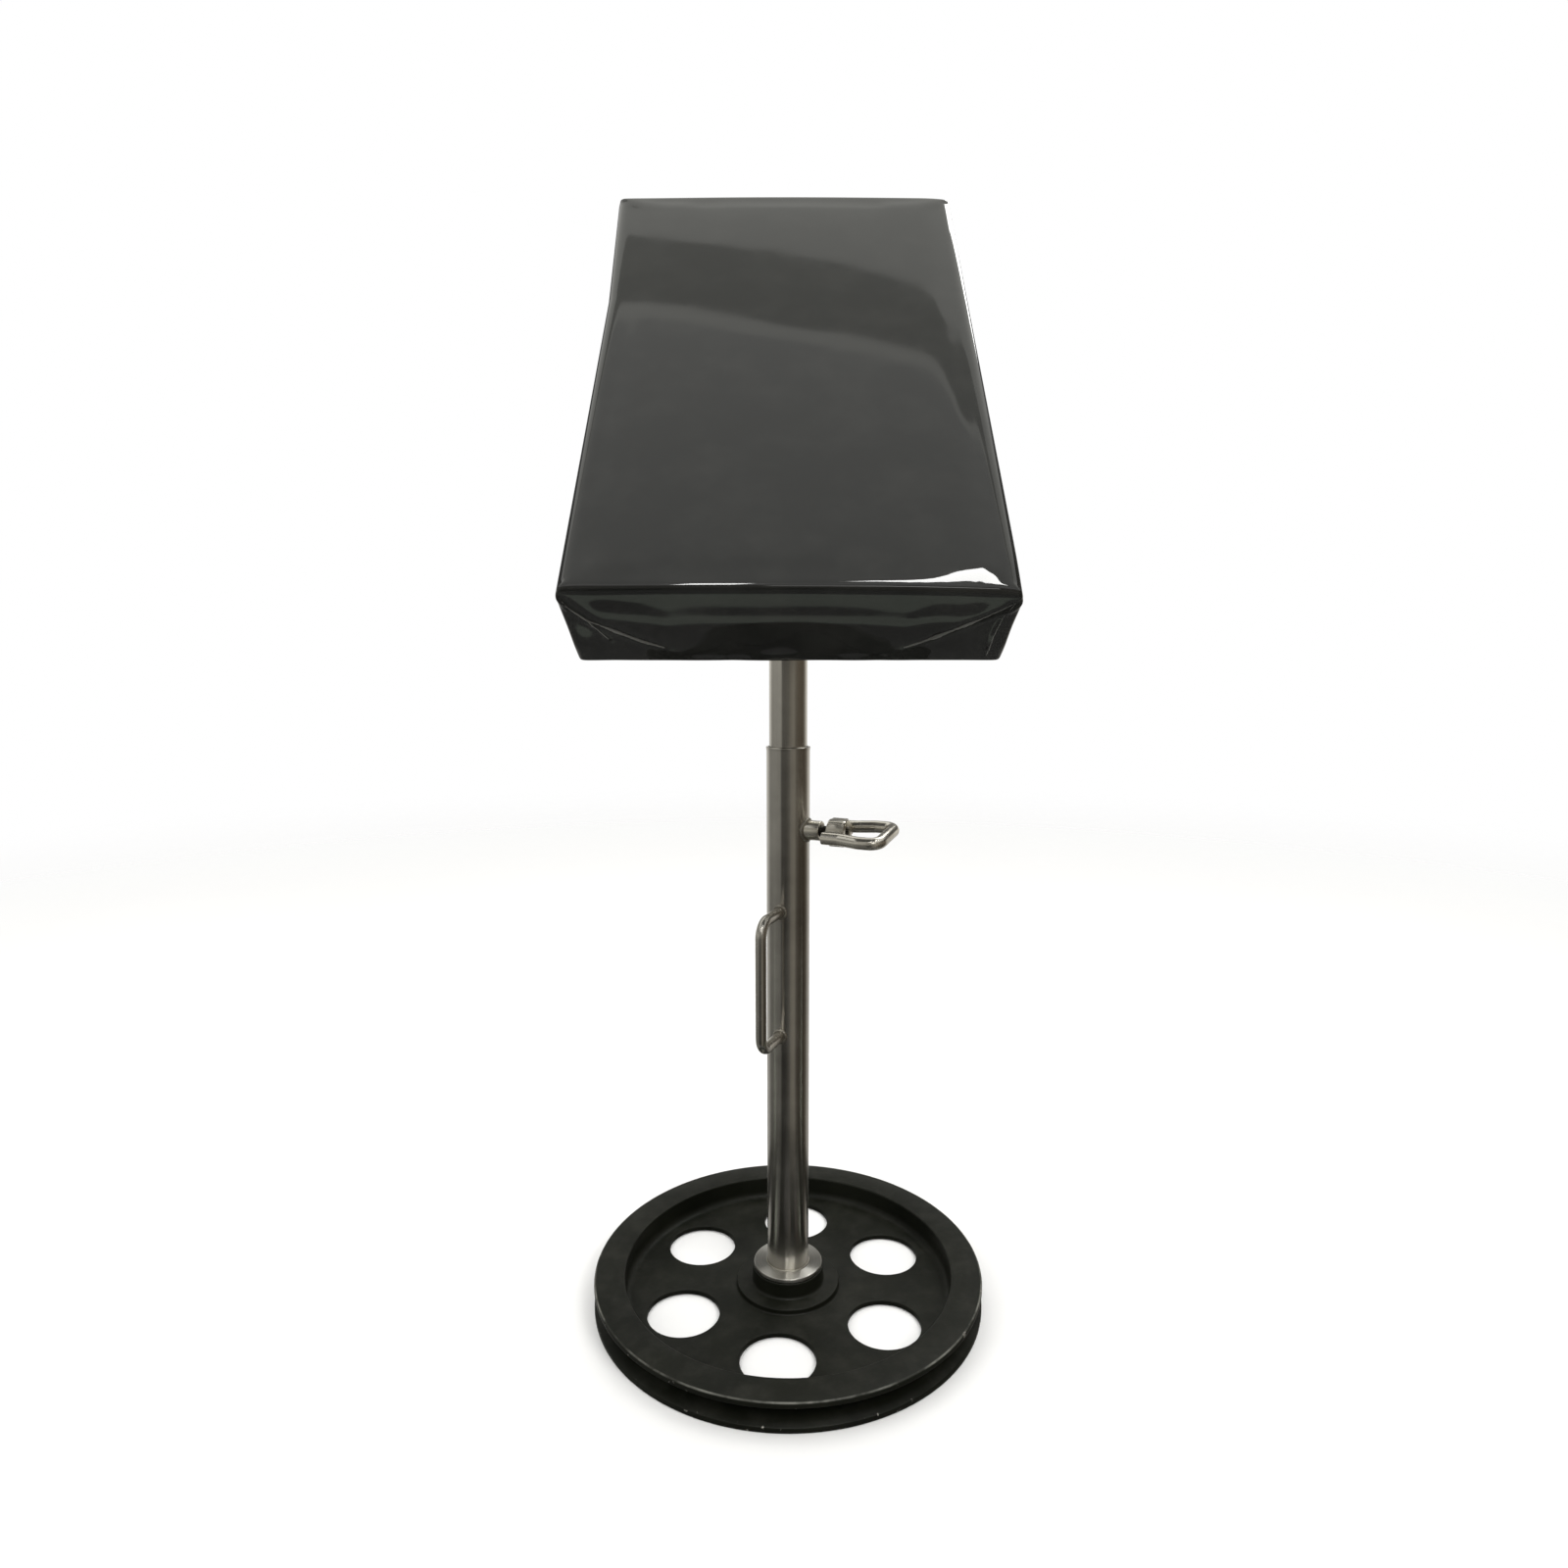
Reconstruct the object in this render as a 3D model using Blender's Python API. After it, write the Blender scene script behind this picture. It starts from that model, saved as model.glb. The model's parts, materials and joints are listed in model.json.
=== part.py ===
"""Height-adjustable padded rest on a grooved-pulley base.

Metres, +Z up.  The origin is on the post's axis, on the floor.  +X is to the right of the
person who stands at the pad's low end, and +Y runs away from that person.
"""

from math import cos, pi, radians, sin

import bmesh
import bpy
from mathutils import Matrix, Vector

MM = 0.001
GAP = 0.3 * MM  # kept between pieces that touch
REACH = 30 * MM  # how far a drill runs past what it cuts

# Base: a single-groove V-belt pulley lying on its side
PULLEY_R = 150 * MM
PULLEY_H = 22 * MM
RIM_INNER_R = 126.6 * MM
RIM_FILLET = 5.8 * MM
WEB_BOTTOM = 0.6 * MM
WEB_TOP = 4.4 * MM
GROOVE_MOUTH = 13.6 * MM
GROOVE_FLOOR = 5.2 * MM
GROOVE_DEPTH = 13 * MM
BOSS_R = 40 * MM
BOSS_TOP = 8.5 * MM
NECK_R = 27.5 * MM
NECK_TOP = 20.7 * MM
BORE_R = 12.3 * MM
EDGE = 1.2 * MM  # chamfer on the casting's corners
HOLE_COUNT = 6
HOLE_R = 27.1 * MM
HOLE_CIRCLE_R = 86.9 * MM
HOLE_START = radians(25.1)
SET_SCREW_ANGLES = (radians(60), radians(120))
SET_SCREW_Z = 14.6 * MM
SET_SCREW_R = 4 * MM
SET_SCREW_LENGTH = 12 * MM

# Post
SPIGOT_R = BORE_R - GAP
COLLAR_R = 26.5 * MM
COLLAR_H = 3 * MM
COLLAR_BOTTOM = NECK_TOP + GAP
TUBE_WALL = 1.5 * MM
OUTER_R = 16 * MM
OUTER_BOTTOM = COLLAR_BOTTOM + COLLAR_H + GAP
OUTER_TOP = 429 * MM
INNER_R = 14 * MM
INNER_BOTTOM = 185 * MM
PLUG_HEAD = 4 * MM
PLUG_STEM = 14 * MM

# Carrying handle, bent from round bar
ROD_R = 4 * MM
HANDLE_ANGLE = radians(-113)
HANDLE_REACH = 50 * MM
HANDLE_TOP = 308 * MM
HANDLE_BOTTOM = 212.5 * MM
HANDLE_BEND = 11 * MM

# Clamp screw; distances run out from the post's axis along the screw
LOCK_Z = 368 * MM
LOCK_ANGLE = radians(-25)
LOCK_TWIST = radians(8)
LOCK_BOSS_R = 7.3 * MM
LOCK_BOSS_END = 27 * MM
LOCK_THREAD_R = 4 * MM
TIP_R = 3.2 * MM
TIP_START = INNER_R + GAP
TIP_END = 17.3 * MM
SCREW_END = 44 * MM
NUT_START = 33.5 * MM
NUT_END = 47.3 * MM
NUT_ACROSS_FLATS = 19 * MM
LOOP_R = 4.5 * MM
LOOP_NECK = 15.8 * MM
LOOP_WIDE = 19.5 * MM
LOOP_FLARE = 62 * MM
LOOP_END = 77.1 * MM
LOOP_BEND = 9 * MM

# Tilt joint
PIVOT_Z = 628.4 * MM
PIVOT_TO_PAD = 26.4 * MM
REST_TILT = radians(47.5)
PIVOT_BOLT_R = 5 * MM
PIVOT_HOLE_R = PIVOT_BOLT_R + GAP
KNUCKLE_R = 13 * MM
LUG_NECK = 1.5 * MM
LUG_THICK = 8 * MM
CAP_H = 4 * MM
CAP_TOP = PIVOT_Z - KNUCKLE_R - LUG_NECK
EAR_THICK = 4 * MM
WASHER_R = 10 * MM
WASHER_H = 2 * MM
PIVOT_HEX = 16 * MM
BOLT_HEAD_H = 6.4 * MM
PIVOT_NUT_H = 8 * MM
BOLT_STICK_OUT = 2.5 * MM
PLATE_SIZE = (64 * MM, 92 * MM)
PLATE_CORNER = 6 * MM
PLATE_H = 4 * MM
PLATE_SCREWS = (22 * MM, 36 * MM)
PAD_SCREW_R = 3 * MM
PAD_SCREW_HEAD_R = 6 * MM
PAD_SCREW_HEAD_H = 3.4 * MM
PAD_SCREW_DEPTH = 12 * MM

# Pad: width along X, length up the slope, thickness square to the slope
PAD_W = 248 * MM
PAD_L = 418 * MM
PAD_T = 57.6 * MM
PAD_LEAN = 3.5 * MM  # how far each side leans in from top to foot
PAD_CORNER = 5 * MM
PAD_EDGE = 9 * MM
SKIN = 1.2 * MM
HEM = 26 * MM
BOARD_H = 12 * MM
UNDERLAY_H = 0.8 * MM

ROUND = 40  # sides of a tube
FINE = 72  # sides of the pulley
SMALL = 24  # sides of a screw, nut or washer


# ---------------------------------------------------------------- mesh tools


def circle(radius, z, sides, squash=None):
    """A ring of points round Z; squash(angle) may scale the radius."""
    ring = []
    for i in range(sides):
        angle = 2 * pi * i / sides
        r = radius * (squash(angle) if squash else 1.0)
        ring.append(Vector((r * cos(angle), r * sin(angle), z)))
    return ring


def hexagon(across_flats, z):
    """A ring of SMALL points on a hexagon's outline."""

    def corner(angle):
        return 1 / cos((angle + pi / 6) % (pi / 3) - pi / 6)

    return circle(across_flats / 2, z, SMALL, corner)


def rounded_rectangle(width, length, radius, z, steps=3):
    """A ring round a rectangle with arcs at its corners."""
    ring = []
    for quarter, (sx, sy) in enumerate(((1, 1), (-1, 1), (-1, -1), (1, -1))):
        centre = Vector((sx * (width / 2 - radius), sy * (length / 2 - radius), z))
        for i in range(steps + 1):
            angle = pi / 2 * (quarter + i / steps)
            ring.append(centre + Vector((radius * cos(angle), radius * sin(angle), 0)))
    return ring


def skin(rings, loop=False):
    """One closed body through equal rings: a loop for a hollow, else capped at both ends."""
    bm = bmesh.new()
    rows = [[bm.verts.new(p) for p in ring] for ring in rings]
    pairs = list(zip(rows, rows[1:]))
    if loop:
        pairs.append((rows[-1], rows[0]))
    for low, high in pairs:
        for i in range(len(low)):
            j = (i + 1) % len(low)
            bm.faces.new((low[i], low[j], high[j], high[i]))
    if not loop:
        bm.faces.new(rows[0])
        bm.faces.new(rows[-1])
    bmesh.ops.recalc_face_normals(bm, faces=bm.faces)
    return bm


def turned(profile, sides, loop=False):
    """A body turned round Z from (radius, z) points."""
    return skin([circle(r, z, sides) for r, z in profile], loop)


def extruded(outline, thickness):
    """A plate from (y, z) points, centred on x = 0."""
    half = thickness / 2
    return skin([[Vector((x, y, z)) for y, z in outline] for x in (-half, half)])


def arc(cx, cy, radius, start, end, steps):
    """Points on an arc, from the start angle to the end angle."""
    points = []
    for i in range(steps + 1):
        angle = start + (end - start) * i / steps
        points.append((cx + radius * cos(angle), cy + radius * sin(angle)))
    return points


def bent(corners, radius, steps=5):
    """A path through the corners with every inner corner turned into an arc."""
    path = [corners[0]]
    for before, corner, after in zip(corners, corners[1:], corners[2:]):
        back = (before - corner).normalized()
        on = (after - corner).normalized()
        half = back.angle(on) / 2
        cut = radius * cos(half) / sin(half)
        centre = corner + (back + on).normalized() * radius / sin(half)
        start = (corner + back * cut - centre).normalized()
        end = (corner + on * cut - centre).normalized()
        for i in range(steps + 1):
            path.append(centre + start.slerp(end, i / steps) * radius)
    path.append(corners[-1])
    return path


# ------------------------------------------------------------- object tools


def material(name, colour, roughness, metallic=0.0):
    """A plain Principled material."""
    mat = bpy.data.materials.new(name)
    mat.use_nodes = True
    shader = mat.node_tree.nodes["Principled BSDF"]
    shader.inputs["Base Color"].default_value = (*colour, 1)
    shader.inputs["Roughness"].default_value = roughness
    shader.inputs["Metallic"].default_value = metallic
    return mat


def place(obj, parent=None, matrix=None):
    """Link the object, under its parent where it has one."""
    bpy.context.scene.collection.objects.link(obj)
    obj.parent = parent
    if matrix:
        obj.matrix_local = matrix
    return obj


def solid(name, bm, mat, parent=None, matrix=None):
    """An object from a bmesh, shaded smooth except at its edges."""
    mesh = bpy.data.meshes.new(name)
    bm.to_mesh(mesh)
    bm.free()
    mesh.shade_smooth()
    mesh.set_sharp_from_angle(angle=radians(35))
    mesh.materials.append(mat)
    return place(bpy.data.objects.new(name, mesh), parent, matrix)


def rod(name, path, radius, mat, parent=None, matrix=None):
    """Round bar along a path, flat at both ends."""
    curve = bpy.data.curves.new(name, "CURVE")
    curve.dimensions = "3D"
    curve.bevel_depth = radius
    curve.bevel_resolution = 3
    curve.use_fill_caps = True
    spline = curve.splines.new("POLY")
    spline.points.add(len(path) - 1)
    for point, at in zip(spline.points, path):
        point.co = (*at, 1)
    curve.materials.append(mat)
    return place(bpy.data.objects.new(name, curve), parent, matrix)


def pivot(name, matrix, parent=None):
    """An empty on a joint's axis."""
    empty = bpy.data.objects.new(name, None)
    empty.empty_display_size = REACH
    return place(empty, parent, matrix)


def drill(obj, name, bm, matrix=None):
    """Cut the object with a hidden tool body, placed in the object's own parent."""
    mesh = bpy.data.meshes.new(name)
    bm.to_mesh(mesh)
    bm.free()
    cutter = place(bpy.data.objects.new(name, mesh), obj.parent, matrix)
    cutter.hide_render = True
    cutter.display_type = "WIRE"
    cut = obj.modifiers.new(name, "BOOLEAN")
    cut.operation = "DIFFERENCE"
    cut.object = cutter


def many(bodies):
    """Several separate bodies in one bmesh, each moved by its matrix."""
    joined = bmesh.new()
    for bm, matrix in bodies:
        bm.transform(matrix)
        scratch = bpy.data.meshes.new("scratch")
        bm.to_mesh(scratch)
        bm.free()
        joined.from_mesh(scratch)
        bpy.data.meshes.remove(scratch)
    return joined


def pin(radius, bottom, top, sides=SMALL):
    """A plain cylinder along Z."""
    return turned([(radius, bottom), (radius, top)], sides)


def sideways(z=0.0):
    """Local Z runs along +X, local X points down."""
    return Matrix.Translation((0, 0, z)) @ Matrix.Rotation(pi / 2, 4, "Y")


def along(angle, z):
    """Local Z runs out from the post at this angle, local X points down."""
    return Matrix.Rotation(angle, 4, "Z") @ sideways(z)


# -------------------------------------------------------------------- pieces


def pulley_profile():
    """Half section of the casting, from the bore's foot round to its mouth."""
    middle = PULLEY_H / 2
    fillet = arc(
        RIM_INNER_R - RIM_FILLET, WEB_TOP + RIM_FILLET, RIM_FILLET, 0, -pi / 2, 3
    )
    return [
        (BORE_R, 0),
        (BOSS_R, 0),
        (BOSS_R, WEB_BOTTOM),
        (RIM_INNER_R, WEB_BOTTOM),
        (RIM_INNER_R, 0),
        (PULLEY_R, 0),
        (PULLEY_R, middle - GROOVE_MOUTH / 2),
        (PULLEY_R - GROOVE_DEPTH, middle - GROOVE_FLOOR / 2),
        (PULLEY_R - GROOVE_DEPTH, middle + GROOVE_FLOOR / 2),
        (PULLEY_R, middle + GROOVE_MOUTH / 2),
        (PULLEY_R, PULLEY_H - EDGE),
        (PULLEY_R - EDGE, PULLEY_H),
        (RIM_INNER_R + EDGE, PULLEY_H),
        (RIM_INNER_R, PULLEY_H - EDGE),
        *fillet,
        (BOSS_R + EDGE, WEB_TOP),
        (BOSS_R, WEB_TOP + EDGE),
        (BOSS_R, BOSS_TOP),
        (NECK_R + EDGE, BOSS_TOP),
        (NECK_R, BOSS_TOP + EDGE),
        (NECK_R, NECK_TOP),
        (BORE_R, NECK_TOP),
    ]


def make_base(paint, steel, black_steel):
    """The pulley, the two set screws in its hub, and the solid spigot that they hold."""
    pulley = solid("pulley_base", turned(pulley_profile(), FINE, loop=True), paint)
    lightening = []
    for i in range(HOLE_COUNT):
        angle = HOLE_START + 2 * pi * i / HOLE_COUNT
        at = Vector((HOLE_CIRCLE_R * cos(angle), HOLE_CIRCLE_R * sin(angle), 0))
        tool = pin(HOLE_R, -REACH, REACH, ROUND)
        lightening.append((tool, Matrix.Translation(at)))
    drill(pulley, "cut_web_holes", many(lightening))
    taps = []
    for angle in SET_SCREW_ANGLES:
        tool = pin(SET_SCREW_R + GAP, BORE_R / 2, NECK_R + REACH)
        taps.append((tool, along(angle, SET_SCREW_Z)))
    drill(pulley, "cut_set_screw_holes", many(taps))

    start = SPIGOT_R + GAP
    for number, angle in enumerate(SET_SCREW_ANGLES, 1):
        end = start + SET_SCREW_LENGTH
        rings = [
            circle(SET_SCREW_R, start, SMALL),
            circle(SET_SCREW_R, end, SMALL),
            hexagon(SET_SCREW_R, end),
            hexagon(SET_SCREW_R, end - SET_SCREW_LENGTH / 3),
        ]
        solid(f"hub_set_screw_{number}", skin(rings), black_steel, None, along(angle, SET_SCREW_Z))

    solid("post_spigot", pin(SPIGOT_R, 0, NECK_TOP, ROUND), steel)
    edge = EDGE / 3
    collar = [
        (COLLAR_R - edge, COLLAR_BOTTOM),
        (COLLAR_R, COLLAR_BOTTOM + edge),
        (COLLAR_R, COLLAR_BOTTOM + COLLAR_H - edge),
        (COLLAR_R - edge, COLLAR_BOTTOM + COLLAR_H),
    ]
    solid("post_collar", turned(collar, ROUND), steel)


def tube(outer_r, bottom, top):
    """A plain tube."""
    inner_r = outer_r - TUBE_WALL
    profile = [(inner_r, bottom), (outer_r, bottom), (outer_r, top), (inner_r, top)]
    return turned(profile, ROUND, loop=True)


def make_post(steel):
    """The outer tube with its clamp boss and its welded carrying handle."""
    clamp_axis = along(LOCK_ANGLE, LOCK_Z)
    outer = solid("outer_tube", tube(OUTER_R, OUTER_BOTTOM, OUTER_TOP), steel)
    drill(outer, "cut_tube_hole", pin(LOCK_THREAD_R + GAP, INNER_R / 2, LOCK_BOSS_END), clamp_axis)

    inside = LOCK_THREAD_R + GAP
    edge = EDGE / 2
    boss_profile = [
        (inside, INNER_R),
        (LOCK_BOSS_R, INNER_R),
        (LOCK_BOSS_R, LOCK_BOSS_END - edge),
        (LOCK_BOSS_R - edge, LOCK_BOSS_END),
        (inside, LOCK_BOSS_END),
    ]
    boss = solid("lock_boss", turned(boss_profile, SMALL, loop=True), steel, None, clamp_axis)
    drill(boss, "cut_boss_saddle", pin(OUTER_R + GAP, LOCK_Z - REACH, LOCK_Z + REACH, ROUND))

    corners = [
        Vector((OUTER_R + GAP, 0, HANDLE_TOP)),
        Vector((HANDLE_REACH, 0, HANDLE_TOP)),
        Vector((HANDLE_REACH, 0, HANDLE_BOTTOM)),
        Vector((OUTER_R + GAP, 0, HANDLE_BOTTOM)),
    ]
    turn = Matrix.Rotation(HANDLE_ANGLE, 4, "Z")
    rod("carry_handle", bent(corners, HANDLE_BEND), ROD_R, steel, None, turn)


def make_inner_post(steel, plastic):
    """The sliding tube, its glide plug below, and its cap and lug above."""
    swivel = pivot("height_and_swivel_axis", Matrix.Identity(4))
    tube_top = CAP_TOP - CAP_H - GAP
    solid("inner_tube", tube(INNER_R, INNER_BOTTOM, tube_top), steel, swivel)
    stem_r = INNER_R - TUBE_WALL - GAP
    plug = [
        (INNER_R + GAP / 2, INNER_BOTTOM - PLUG_HEAD),
        (INNER_R + GAP / 2, INNER_BOTTOM - GAP),
        (stem_r, INNER_BOTTOM - GAP),
        (stem_r, INNER_BOTTOM + PLUG_STEM),
    ]
    solid("glide_plug", turned(plug, ROUND), plastic, swivel)
    solid("inner_tube_cap", pin(INNER_R, CAP_TOP - CAP_H, CAP_TOP, ROUND), steel, swivel)
    foot = CAP_TOP + GAP - PIVOT_Z
    outline = [(KNUCKLE_R, foot), *arc(0, 0, KNUCKLE_R, 0, pi, 12), (-KNUCKLE_R, foot)]
    lift = Matrix.Translation((0, 0, PIVOT_Z))
    lug = solid("tilt_lug", extruded(outline, LUG_THICK), steel, swivel, lift)
    drill(lug, "cut_lug_hole", pin(PIVOT_HOLE_R, -REACH, REACH), sideways(PIVOT_Z))


def screw_spots():
    """Where the four pad screws stand, in the pad's own plane."""
    dx, dy = PLATE_SCREWS
    return [(sx * dx, sy * dy) for sx in (-1, 1) for sy in (-1, 1)]


def drill_pad_screws(obj, name, bottom, top):
    """Clearance holes for the four pad screws."""
    tools = []
    for x, y in screw_spots():
        tools.append((pin(PAD_SCREW_R + GAP, bottom, top), Matrix.Translation((x, y, 0))))
    drill(obj, name, many(tools))


def make_tilt_joint(tilt, steel, zinc):
    """Bracket, ears, cross bolt, washers and nut, in the pad's tilted frame."""
    plate_top = PIVOT_TO_PAD - GAP
    plate_foot = plate_top - PLATE_H
    rings = [rounded_rectangle(*PLATE_SIZE, PLATE_CORNER, z) for z in (plate_foot, plate_top)]
    plate = solid("bracket_plate", skin(rings), steel, tilt)
    drill_pad_screws(plate, "cut_plate_holes", plate_foot - MM, plate_top + MM)

    root = plate_foot - GAP
    outline = [(KNUCKLE_R, root), (-KNUCKLE_R, root), *arc(0, 0, KNUCKLE_R, pi, 2 * pi, 12)]
    ear_x = LUG_THICK / 2 + GAP + EAR_THICK / 2
    for side, name in ((-1, "left"), (1, "right")):
        shift = Matrix.Translation((side * ear_x, 0, 0))
        ear = solid(f"bracket_ear_{name}", extruded(outline, EAR_THICK), steel, tilt, shift)
        drill(ear, f"cut_ear_{name}", pin(PIVOT_HOLE_R, -REACH, REACH), sideways())
        near = ear_x + EAR_THICK / 2 + GAP
        washer = [
            (PIVOT_HOLE_R, near),
            (WASHER_R, near),
            (WASHER_R, near + WASHER_H),
            (PIVOT_HOLE_R, near + WASHER_H),
        ]
        face = Matrix.Rotation(side * pi / 2, 4, "Y")
        solid(f"pivot_washer_{name}", turned(washer, SMALL, loop=True), zinc, tilt, face)

    seat = ear_x + EAR_THICK / 2 + 2 * GAP + WASHER_H
    bolt = [
        hexagon(PIVOT_HEX, -seat - BOLT_HEAD_H),
        hexagon(PIVOT_HEX, -seat),
        circle(PIVOT_BOLT_R, -seat, SMALL),
        circle(PIVOT_BOLT_R, seat + PIVOT_NUT_H + BOLT_STICK_OUT, SMALL),
    ]
    solid("pivot_bolt", skin(bolt), zinc, tilt, sideways())
    nut = [
        circle(PIVOT_HOLE_R, seat, SMALL),
        hexagon(PIVOT_HEX, seat),
        hexagon(PIVOT_HEX, seat + PIVOT_NUT_H),
        circle(PIVOT_HOLE_R, seat + PIVOT_NUT_H, SMALL),
    ]
    solid("pivot_nut", skin(nut, loop=True), zinc, tilt, sideways())

    for number, (x, y) in enumerate(screw_spots(), 1):
        head = plate_foot - GAP
        screw = [
            (PAD_SCREW_HEAD_R / 2, head - PAD_SCREW_HEAD_H),
            (PAD_SCREW_HEAD_R, head - PAD_SCREW_HEAD_H / 3),
            (PAD_SCREW_HEAD_R, head),
            (PAD_SCREW_R, head),
            (PAD_SCREW_R, PIVOT_TO_PAD + PAD_SCREW_DEPTH),
        ]
        shift = Matrix.Translation((x, y, 0))
        solid(f"pad_screw_{number}", turned(screw, SMALL), zinc, tilt, shift)


def make_pad(tilt, vinyl, foam, plywood, cloth):
    """Board, foam, cover and underlay, in the pad's tilted frame."""
    bottom = PIVOT_TO_PAD
    top = bottom + PAD_T

    def slab(inset, z, lean_at=None):
        """A ring set in from the pad's leaning side; lean_at is another height's lean."""
        height = z if lean_at is None else lean_at
        inset += PAD_LEAN * (top - height) / PAD_T
        return rounded_rectangle(PAD_W - 2 * inset, PAD_L - 2 * inset, PAD_CORNER, z)

    def crown(inset, height):
        """Rings that round a slab's upper edge."""
        rings = []
        for i in range(4):
            angle = pi / 2 * i / 3
            drawn_in = inset + PAD_EDGE * (1 - cos(angle))
            rings.append(slab(drawn_in, height - PAD_EDGE * (1 - sin(angle))))
        return rings

    inside = SKIN + GAP
    outer_skin = [slab(EDGE, bottom), slab(0, bottom + EDGE), *crown(0, top)]
    inner_skin = [slab(SKIN, bottom + SKIN), *crown(SKIN, top - SKIN)]
    hem = [slab(HEM, bottom + SKIN), slab(HEM, bottom)]
    cover = [*reversed(inner_skin), *hem, *outer_skin]
    solid("pad_cover", skin(cover), vinyl, tilt)

    board_bottom = bottom + inside
    board_top = board_bottom + BOARD_H
    board_rings = [slab(inside, board_bottom), slab(inside, board_top, board_bottom)]
    board = solid("pad_board", skin(board_rings), plywood, tilt)
    drill_pad_screws(board, "cut_board_holes", bottom, board_top + MM)

    foam_rings = [slab(inside, board_top + GAP), *crown(inside, top - inside)]
    solid("pad_foam", skin(foam_rings), foam, tilt)

    opening = HEM + GAP
    sheet = [slab(opening, bottom + GAP), slab(opening, bottom + GAP + UNDERLAY_H)]
    underlay = solid("pad_underlay", skin(sheet), cloth, tilt)
    drill_pad_screws(underlay, "cut_underlay_holes", bottom - MM, bottom + UNDERLAY_H + MM)


def make_clamp(steel, brass, black_steel):
    """The clamp screw with its pressure pad, its welded nut and its bent loop."""
    direction = Matrix.Translation((0, 0, LOCK_Z)) @ Matrix.Rotation(LOCK_ANGLE, 4, "Z")
    axis = pivot("lock_screw_axis", direction @ Matrix.Rotation(LOCK_TWIST, 4, "X"))
    out = sideways()
    solid("lock_tip", pin(TIP_R, TIP_START, TIP_END), brass, axis, out)
    thread = [
        (LOCK_THREAD_R - EDGE / 2, TIP_END + GAP),
        (LOCK_THREAD_R, TIP_END + GAP + EDGE / 2),
        (LOCK_THREAD_R, SCREW_END - EDGE / 2),
        (LOCK_THREAD_R - EDGE / 2, SCREW_END),
    ]
    solid("lock_screw", turned(thread, SMALL), black_steel, axis, out)
    inside = LOCK_THREAD_R + GAP
    edge = EDGE / 2
    nut = [
        circle(inside, NUT_START, SMALL),
        circle(NUT_ACROSS_FLATS / 2, NUT_START, SMALL),
        hexagon(NUT_ACROSS_FLATS, NUT_START + edge),
        hexagon(NUT_ACROSS_FLATS, NUT_END - edge),
        circle(NUT_ACROSS_FLATS / 2, NUT_END, SMALL),
        circle(inside, NUT_END, SMALL),
    ]
    solid("lock_nut", skin(nut, loop=True), steel, axis, out)
    half = [
        Vector((NUT_START + MM, LOOP_NECK, 0)),
        Vector((NUT_END, LOOP_NECK, 0)),
        Vector((LOOP_FLARE, LOOP_WIDE, 0)),
        Vector((LOOP_END, LOOP_WIDE, 0)),
    ]
    other = [Vector((p.x, -p.y, p.z)) for p in reversed(half)]
    rod("lock_loop", bent(half + other, LOOP_BEND, 4), LOOP_R, steel, axis)


def main():
    for obj in list(bpy.data.objects):
        bpy.data.objects.remove(obj, do_unlink=True)

    paint = material("black_casting_paint", (0.022, 0.023, 0.020), 0.38)
    steel = material("satin_stainless", (0.42, 0.40, 0.37), 0.36, 1.0)
    black_steel = material("black_oxide_steel", (0.03, 0.03, 0.03), 0.5, 1.0)
    zinc = material("zinc_plated_steel", (0.60, 0.60, 0.58), 0.3, 1.0)
    brass = material("brass", (0.65, 0.48, 0.20), 0.35, 1.0)
    plastic = material("grey_nylon", (0.30, 0.30, 0.30), 0.5)
    vinyl = material("black_vinyl", (0.015, 0.015, 0.016), 0.25)
    foam = material("grey_foam", (0.35, 0.35, 0.33), 0.9)
    plywood = material("birch_plywood", (0.55, 0.38, 0.20), 0.6)
    cloth = material("black_underlay", (0.03, 0.03, 0.03), 0.9)

    make_base(paint, steel, black_steel)
    make_post(steel)
    make_inner_post(steel, plastic)
    make_clamp(steel, brass, black_steel)

    place_pad = Matrix.Translation((0, 0, PIVOT_Z)) @ Matrix.Rotation(REST_TILT, 4, "X")
    tilt = pivot("tilt_axis", place_pad)
    make_tilt_joint(tilt, steel, zinc)
    make_pad(tilt, vinyl, foam, plywood, cloth)


main()
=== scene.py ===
import json
import random
from math import cos, exp, hypot, pi, radians, sin, sqrt, tan

import bmesh
import bpy
import numpy as np
from mathutils import Matrix, Vector, noise
from mathutils.bvhtree import BVHTree

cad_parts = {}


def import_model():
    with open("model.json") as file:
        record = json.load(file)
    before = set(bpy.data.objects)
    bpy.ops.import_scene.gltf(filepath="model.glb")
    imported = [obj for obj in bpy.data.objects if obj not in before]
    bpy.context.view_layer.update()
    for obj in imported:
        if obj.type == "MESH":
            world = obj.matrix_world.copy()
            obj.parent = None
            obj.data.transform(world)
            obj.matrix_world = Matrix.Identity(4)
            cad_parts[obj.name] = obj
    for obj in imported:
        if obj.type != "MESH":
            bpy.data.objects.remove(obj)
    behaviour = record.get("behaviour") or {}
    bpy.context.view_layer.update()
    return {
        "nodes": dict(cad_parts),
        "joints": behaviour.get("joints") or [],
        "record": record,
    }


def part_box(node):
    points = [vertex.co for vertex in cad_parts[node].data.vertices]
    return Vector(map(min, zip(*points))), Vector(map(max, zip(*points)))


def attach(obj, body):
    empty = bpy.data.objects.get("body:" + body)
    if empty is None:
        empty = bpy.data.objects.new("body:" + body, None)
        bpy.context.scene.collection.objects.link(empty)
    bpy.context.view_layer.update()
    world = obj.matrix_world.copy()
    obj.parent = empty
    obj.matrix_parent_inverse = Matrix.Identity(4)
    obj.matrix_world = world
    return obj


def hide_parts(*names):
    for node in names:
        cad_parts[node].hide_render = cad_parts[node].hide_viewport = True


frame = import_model()

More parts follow.
